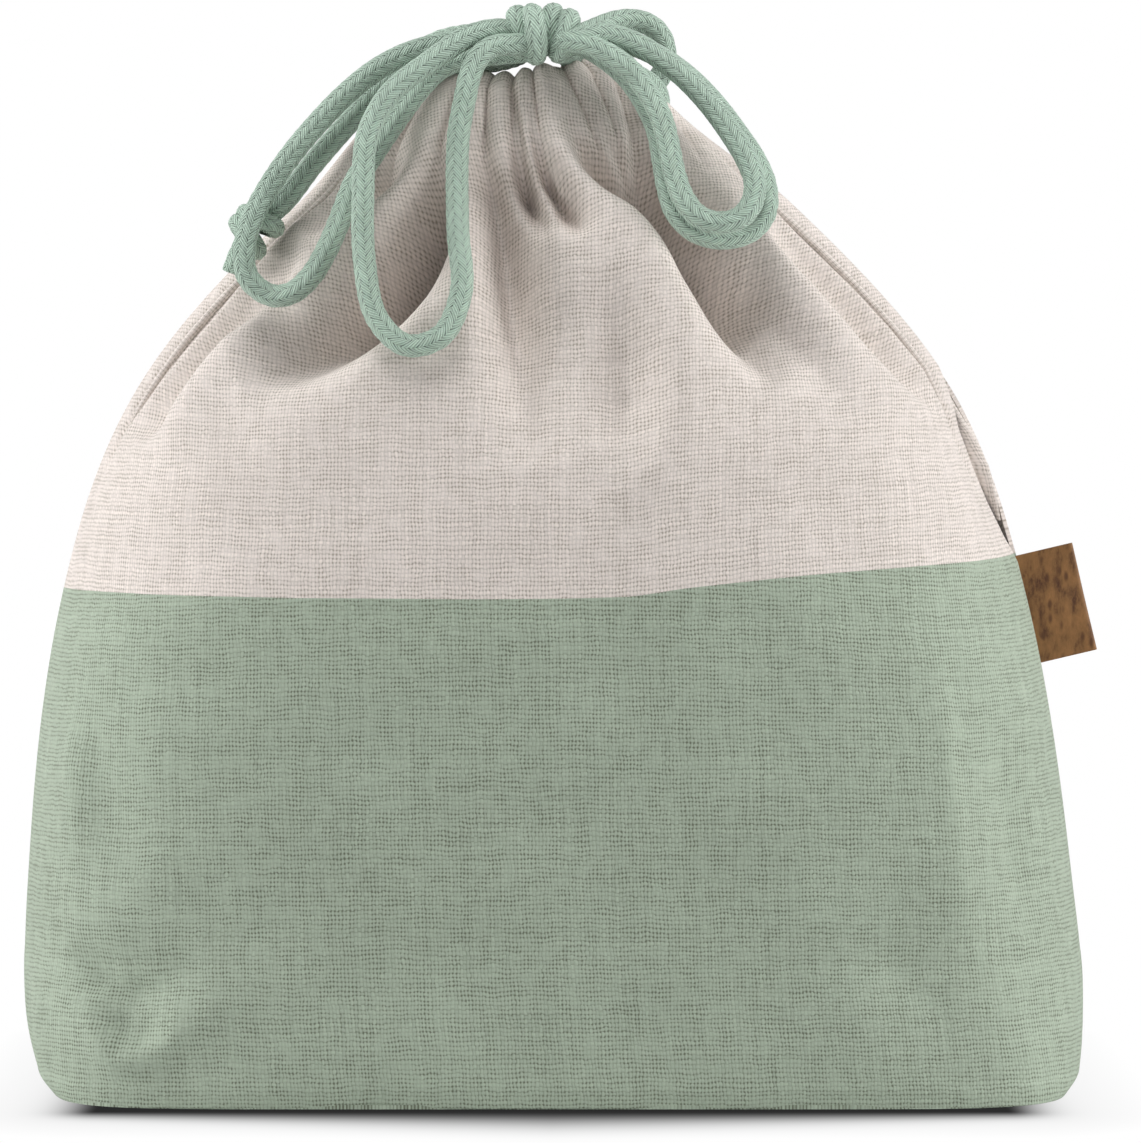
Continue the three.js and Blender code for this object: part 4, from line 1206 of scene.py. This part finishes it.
# Thickness of the cord pulled tight in the end knot and at its cut end, as shares
TIGHT_TURN = 0.9
TIGHT_END = 0.94


def from_knot(offsets):
    """Route points given in millimetres from the middle of the bow knot."""
    return KNOT + np.array(offsets) * MM


# Depth of the lanes' middle behind the casing's front, as a share of the casing's depth, distance
# of a lane from that middle, as a share of half the casing's height, and ends and points of a run
LANE_DEPTH = 0.62
LANE_SHARE = 0.44
LANE_END = 0.9
LANE_POINTS = 9


def casing_frame(shape, side, s):
    """Middle of the casing tunnel, its direction up the slope and its half height."""
    s = np.asarray(s, float)
    low, high = casing_foot(shape, s), casing_top(shape, s)
    foot = wall(shape, side, s, low)
    top = wall(shape, side, s, high)
    half_height = np.linalg.norm(top - foot, axis=-1, keepdims=True) / 2
    up = unit(top - foot)
    out = outward(shape, side, s, (low + high) / 2)
    out = unit(out - up * np.sum(out * up, axis=-1, keepdims=True))
    return (foot + top) / 2 - out * LANE_DEPTH * shape.casing_depth, up, half_height


def lane(shape, side, s, level):
    """Points of a drawcord's lane in the casing: one lane above the other."""
    middle, up, half_height = casing_frame(shape, side, np.asarray(s))
    return middle + up * level * LANE_SHARE * half_height


def lane_run(shape, side, hand, level):
    """A drawcord's way through one casing, towards the left or the right."""
    return lane(shape, side, hand * np.linspace(-LANE_END, LANE_END, LANE_POINTS), level)


# Distance of a route from the cloth that it lies on, the gap kept there, and the lift of the
# right front loop over the back one
CORD_REST = 3.5 * MM
REST_GAP = 1 * MM
OVER_BACK_LOOP = REST_GAP + 7.2 * MM


def lay_on_cloth(shape, points, lift):
    """Route points that would sink into the front cloth come forward to lie on it."""
    points = np.array(points)
    rest = front_of(shape, points[:, 0], points[:, 2]) - CORD_REST - lift
    low = points[:, 2] < shape.mouth_height - shape.casing_height / 2
    points[:, 1] = np.where(low, np.minimum(points[:, 1], rest), points[:, 1])
    return points


# Reach over which the bends of the drawcords are eased
DRAWCORD_EASE = 4 * MM


class BAG_OT_drawcords(Operator):
    """Makes the two drawcords: their run in the casings and their leads to the knot"""

    bl_idname = "bag.drawcords"
    bl_label = "Drawcords"

    def execute(self, context):
        shape = context.scene.bag_shape
        left = np.concatenate([
            from_knot(LEFT_TO_FRONT),
            lane_run(shape, FRONT, RIGHT, UPPER)[1:],
            lane_run(shape, BACK, LEFT, UPPER)[:-1],
            from_knot(LEFT_FROM_BACK),
        ])
        right = np.concatenate([
            from_knot(RIGHT_TO_FRONT),
            lane(shape, FRONT, [0.5], -0.6),
            lane_run(shape, FRONT, LEFT, LOWER)[3:],
            lane_run(shape, BACK, RIGHT, LOWER)[:-3],
            lane(shape, BACK, [0.6], 0.3),
            lane(shape, BACK, [0.8], UPPER) + (0, -3.5 * MM, 3 * MM),
            from_knot(RIGHT_FROM_BACK),
        ])
        for name, route in (("left_drawcord", left), ("right_drawcord", right)):
            cord = make_cord(context, name, route, None, ease=DRAWCORD_EASE)
            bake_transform(cord)
        return {"FINISHED"}


class BAG_OT_bow_loops(Operator):
    """Makes the loops of the bow: one at the left and two at the right"""

    bl_idname = "bag.bow_loops"
    bl_label = "Bow loops"

    def execute(self, context):
        for name, route, lift, body in (
            ("left_bow_loop", LEFT_BOW_LOOP, REST_GAP, "left_loop"),
            ("right_front_loop", RIGHT_FRONT_LOOP, OVER_BACK_LOOP, "right_loops"),
            ("right_back_loop", RIGHT_BACK_LOOP, REST_GAP, "right_loops"),
        ):
            points = lay_on_cloth(context.scene.bag_shape, from_knot(route), lift)
            make_cord(context, name, points, body)
        return {"FINISHED"}


def ring_path(middle, radius, tilt_up, tilt_side):
    """A closed turn of cord about the X axis: a circle that leans by its height and its depth."""
    count = int(2 * np.pi * radius * MM / RING_STEP)
    angle = np.linspace(0, 2 * np.pi, count, endpoint=False)
    y, z = radius * np.cos(angle), radius * np.sin(angle)
    return (np.array(middle) + np.stack([tilt_up * z + tilt_side * y, y, z], axis=-1)) * MM


class BAG_OT_bow_knot(Operator):
    """Makes the knot of the bow: four turns of cord that spread at the top and close up below"""

    bl_idname = "bag.bow_knot"
    bl_label = "Bow knot"

    def execute(self, context):
        finish = context.scene.bag_cord
        paths = [KNOT + ring_path(*turn) for turn in BOW_KNOT_TURNS]
        turns = [braid_rings(path, finish.diameter, finish.braid_pitch, ends_meet=True) for path in paths]
        make_braid(context, "bow_knot", merge(*turns), "bow")
        return {"FINISHED"}


class BAG_OT_left_tail(Operator):
    """Makes the hanging loop at the left, the strand behind it and the knot at its end"""

    bl_idname = "bag.left_tail"
    bl_label = "Left tail"

    def execute(self, context):
        shape, finish = context.scene.bag_shape, context.scene.bag_cord
        loop = lay_on_cloth(shape, from_knot(LEFT_TAIL_LOOP), REST_GAP)
        make_cord(context, "left_tail_loop", loop, "left_tail")
        middle = from_knot(END_KNOT_PLACE)
        cos, sin = math.cos(END_KNOT_HEADING), math.sin(END_KNOT_HEADING)
        spin = np.array([(cos, 0, sin), (0, 1, 0), (-sin, 0, cos)])
        tight, cut_width = TIGHT_TURN * finish.diameter, TIGHT_END * finish.diameter
        pieces = []
        for turn in END_KNOT_TURNS:
            path = ring_path(*turn) @ spin.T + middle
            pieces.append(braid_rings(path, tight, finish.braid_pitch, ends_meet=True))
        cut, _ = cord_curve(np.array(CUT_END) * MM @ spin.T + middle)
        pieces.append(braid_rings(cut, cut_width, finish.braid_pitch))
        end_knot = make_braid(context, "left_end_knot", merge(*pieces), "left_tail")
        strand = from_knot(LEFT_TAIL_STRAND)
        make_cord(context, "left_tail_strand", strand, "left_tail")
        return {"FINISHED"}


# Side label: its root on the side seam, its directions out of the seam and along it, its sizes,
# the length caught in the seam and the curl of its free edge
LABEL_FOOT = np.array((0.109721, 0, 0.092117))
LABEL_OUT = np.array((0.97327, 0, 0.22968))
LABEL_UP = np.array((-0.22968, 0, 0.97327))
LABEL_LENGTH = 24.5 * MM
LABEL_PROUD = 12.2 * MM
LABEL_HALF = 0.8 * MM
LABEL_LAYER = 0.65 * MM
LABEL_CAUGHT = 3.2 * MM
LABEL_CURL = 0.7 * MM
LABEL_ROWS = 80
LABEL_COLUMNS = 24
LABEL_BEND = 12


def folded_label():
    """Strip folded double: its outline runs out, round a half circle and back, and is drawn up the
    seam. It curls by the square of the distance out, most in the middle of its length."""
    arc = np.linspace(-np.pi / 2, np.pi / 2, LABEL_BEND)
    tip = LABEL_PROUD - LABEL_HALF
    straight = np.linspace(-LABEL_CAUGHT, tip, LABEL_COLUMNS)
    outline = np.concatenate([
        np.stack([straight, np.full(LABEL_COLUMNS, -LABEL_HALF)], axis=-1),
        np.stack([tip + LABEL_HALF * np.cos(arc), LABEL_HALF * np.sin(arc)], axis=-1)[1:-1],
        np.stack([straight[::-1], np.full(LABEL_COLUMNS, LABEL_HALF)], axis=-1),
    ])
    inner = outline.copy()
    inner[:, 1] *= (LABEL_HALF - LABEL_LAYER) / LABEL_HALF
    inner[:, 0] = np.minimum(inner[:, 0], LABEL_PROUD - LABEL_LAYER)
    climb = np.linspace(0, LABEL_LENGTH, LABEL_ROWS)
    curl = LABEL_CURL * np.sin(np.linspace(0, np.pi, LABEL_ROWS)) ** 2
    skins = []
    for profile in (outline, inner):
        bow = curl[None, :] * (profile[:, 0] / LABEL_PROUD)[:, None] ** 2
        points = LABEL_FOOT + LABEL_OUT * profile[:, 0][:, None, None] + LABEL_UP * climb[None, :, None]
        skins.append(points + np.array((0, 1, 0)) * (profile[:, 1][:, None] + bow)[..., None])
    return closed_sheet(skins[0], skins[1], arc_uv(skins[0]))


class BAG_OT_side_label(Operator):
    """Makes the label: a strip of cork fabric folded double and caught in the right side seam"""

    bl_idname = "bag.side_label"
    bl_label = "Side label"

    def execute(self, context):
        finish = context.scene.bag_label
        material = cork_fabric("cork_fabric_waxed", tuple(finish.cork), tuple(finish.bark))
        label = folded_label()
        make_piece("side_label_cork", label, material, "weave", "label", ["side_label"])
        return {"FINISHED"}


# Floor, with the half sizes of the footprint round which its contact shadow is painted. The painted
# shadow's core reaches further at the middle of the bag than at its sides, and a faint painted rim
# goes on beyond it.
FLOOR_HALF = 4.0
FOOTPRINT = (0.096, 0.0566, 0)
CORE_SIDE = 0.1
CORE_REACH_MIDDLE = 0.02
CORE_REACH_SIDE = 0.008
CORE_DARKNESS = 0.97
RIM_REACH = 0.035
RIM_BRIGHTNESS = 0.84

# Softboxes: place, target and width. Then the spot on the mouth and the camera.
SOFTBOXES = (
    ("left", (-0.98, -0.14, 0.05), (0, 0, 0.1), 0.7),
    ("right", (0.94, -0.25, 0.17), (0, 0, 0.11), 0.7),
    ("top", (-0.1, -0.28, 1.02), (0, 0, 0.14), 0.6),
)
SPOT_PLACE = (0.02, -0.85, 0.3)
SPOT_TURN = (math.radians(84), 0, math.radians(1.3))
SPOT_ANGLE = math.radians(10)
SPOT_RADIUS = 0.06
CAMERA_PLACE = (0.0039, -0.95, 0.14)
CAMERA_TURN = (math.radians(90 - 1.67), 0, 0)
CAMERA_LENS = 134.2
CAMERA_SENSOR = 36
WHITE = (1, 1, 1, 1)


def pale_floor(stage):
    """Pale floor, lit as diffuse and seen as white. Its painted contact shadow darkens that white and
    falls off as a bell curve of the distance from the footprint."""
    material, tree = new_material("pale_floor")
    place = add_node(tree, "ShaderNodeTexCoord", output=3)
    apart = add_node(tree, "ShaderNodeVectorMath", {0: place}, operation="ABSOLUTE")
    beyond = add_node(tree, "ShaderNodeVectorMath", {0: apart, 1: FOOTPRINT}, operation="SUBTRACT")
    outside = add_node(tree, "ShaderNodeVectorMath", {0: beyond, 1: (0, 0, 0)}, operation="MAXIMUM")
    away = add_node(tree, "ShaderNodeVectorMath", {0: outside}, 1, operation="LENGTH")
    sideways = add_node(tree, "ShaderNodeSeparateXYZ", {0: apart})
    # Painted contact shadow: a dark core close to the footprint and a faint rim of painted shade beyond
    reach = map_range(tree, sideways, 0.0, CORE_SIDE, CORE_REACH_MIDDLE, CORE_REACH_SIDE)
    share = maths(tree, "DIVIDE", away, reach)
    squared = maths(tree, "MULTIPLY", share, share)
    close = maths(tree, "POWER", math.exp(-1), squared)
    soft = map_range(tree, away, 0.0, RIM_REACH, RIM_BRIGHTNESS, 1.0)
    open_floor = maths(tree, "MULTIPLY_ADD", close, -CORE_DARKNESS, 1.0)
    shadow = maths(tree, "MULTIPLY", open_floor, soft)
    bright = maths(tree, "MULTIPLY", shadow, stage.floor_white)
    lit = add_node(tree, "ShaderNodeBsdfDiffuse", {"Color": tuple(stage.floor) + (1,)})
    white = add_node(tree, "ShaderNodeEmission", {"Color": WHITE, "Strength": bright})
    surface = add_node(tree, "ShaderNodeMixShader", {0: seen_rays(tree), 1: lit, 2: white})
    add_node(tree, "ShaderNodeOutputMaterial", {"Surface": surface})
    return material


def white_studio(stage):
    """White surroundings, which give only a little light."""
    world = bpy.data.worlds.new("white_studio")
    world.use_nodes = True
    tree = world.node_tree
    tree.nodes.clear()
    strength = add_node(tree, "ShaderNodeMapRange", {0: seen_rays(tree), 3: stage.ambient, 4: 1.0})
    sky = add_node(tree, "ShaderNodeBackground", {"Color": WHITE, "Strength": strength})
    add_node(tree, "ShaderNodeOutputWorld", {"Surface": sky})
    return world


def turn_towards(place, target):
    """Angles that point an object's -Z axis from a place to a target."""
    x, y, z = np.array(target) - np.array(place)
    return math.atan2(math.hypot(x, y), -z), 0, math.atan2(y, x) - math.pi / 2


class BAG_OT_stage(Operator):
    """Makes the floor, the soft light and the camera"""

    bl_idname = "bag.stage"
    bl_label = "Stage"

    def execute(self, context):
        scene, stage = context.scene, context.scene.bag_stage
        scene.view_settings.view_transform = "Standard"
        mesh = bpy.data.meshes.new("floor")
        half = FLOOR_HALF
        corners = [(-half, -half, 0), (half, -half, 0), (half, half, 0), (-half, half, 0)]
        mesh.from_pydata(corners, [], [(0, 1, 2, 3)])
        put("floor", mesh)
        mesh.materials.append(pale_floor(stage))
        scene.world = white_studio(stage)
        for name, place, target, width in SOFTBOXES:
            lamp = bpy.data.lights.new(f"{name}_softbox", "AREA")
            lamp.shape = "SQUARE"
            lamp.size = width
            lamp.energy = getattr(stage, f"{name}_light")
            put(f"{name}_softbox", lamp, place, turn_towards(place, target))
        spot = bpy.data.lights.new("mouth_spot", "SPOT")
        spot.energy = stage.mouth_light
        spot.spot_size = SPOT_ANGLE
        spot.spot_blend = 1
        spot.shadow_soft_size = SPOT_RADIUS
        put("mouth_spot", spot, SPOT_PLACE, SPOT_TURN)
        lens = bpy.data.cameras.new("camera")
        lens.sensor_fit = "HORIZONTAL"
        lens.sensor_width = CAMERA_SENSOR
        lens.lens = CAMERA_LENS
        scene.camera = put("camera", lens, CAMERA_PLACE, CAMERA_TURN)
        return {"FINISHED"}


STEPS = (
    BAG_OT_stage,
    BAG_OT_drawcords,
    BAG_OT_bow_knot,
    BAG_OT_bow_loops,
    BAG_OT_left_tail,
    BAG_OT_lower_cloth,
    BAG_OT_upper_cloth,
    BAG_OT_side_label,
)

SETTINGS = (
    ("bag_shape", BagShape),
    ("bag_cloth", ClothFinish),
    ("bag_cord", CordFinish),
    ("bag_label", LabelFinish),
    ("bag_stage", StageSettings),
)


class BAG_PT_sidebar(Panel):
    """Lists the steps and the sizes and colours of the bag"""

    bl_label = "Bento bag"
    bl_idname = "BAG_PT_sidebar"
    bl_space_type = "VIEW_3D"
    bl_region_type = "UI"
    bl_category = "Bento bag"

    def draw(self, context):
        for step in STEPS:
            self.layout.operator(step.bl_idname)
        for name, group in SETTINGS:
            settings = getattr(context.scene, name)
            box = self.layout.box()
            for field in group.__annotations__:
                box.prop(settings, field)


def register():
    """Registers the settings, the steps and the sidebar."""
    for name, group in SETTINGS:
        bpy.utils.register_class(group)
        setattr(bpy.types.Scene, name, PointerProperty(type=group))
    for cls in STEPS + (BAG_PT_sidebar,):
        bpy.utils.register_class(cls)


def unregister():
    """Takes them out again, last one first."""
    for cls in (BAG_PT_sidebar,) + STEPS[::-1]:
        bpy.utils.unregister_class(cls)
    for name, group in SETTINGS[::-1]:
        delattr(bpy.types.Scene, name)
        bpy.utils.unregister_class(group)


def main():
    """Builds the bag and its stage."""
    register()
    bpy.ops.bag.stage()
    bpy.ops.bag.drawcords()
    bpy.ops.bag.bow_knot()
    bpy.ops.bag.bow_loops()
    bpy.ops.bag.left_tail()
    bpy.ops.bag.lower_cloth()
    bpy.ops.bag.upper_cloth()
    bpy.ops.bag.side_label()


if __name__ == "__main__":
    main()
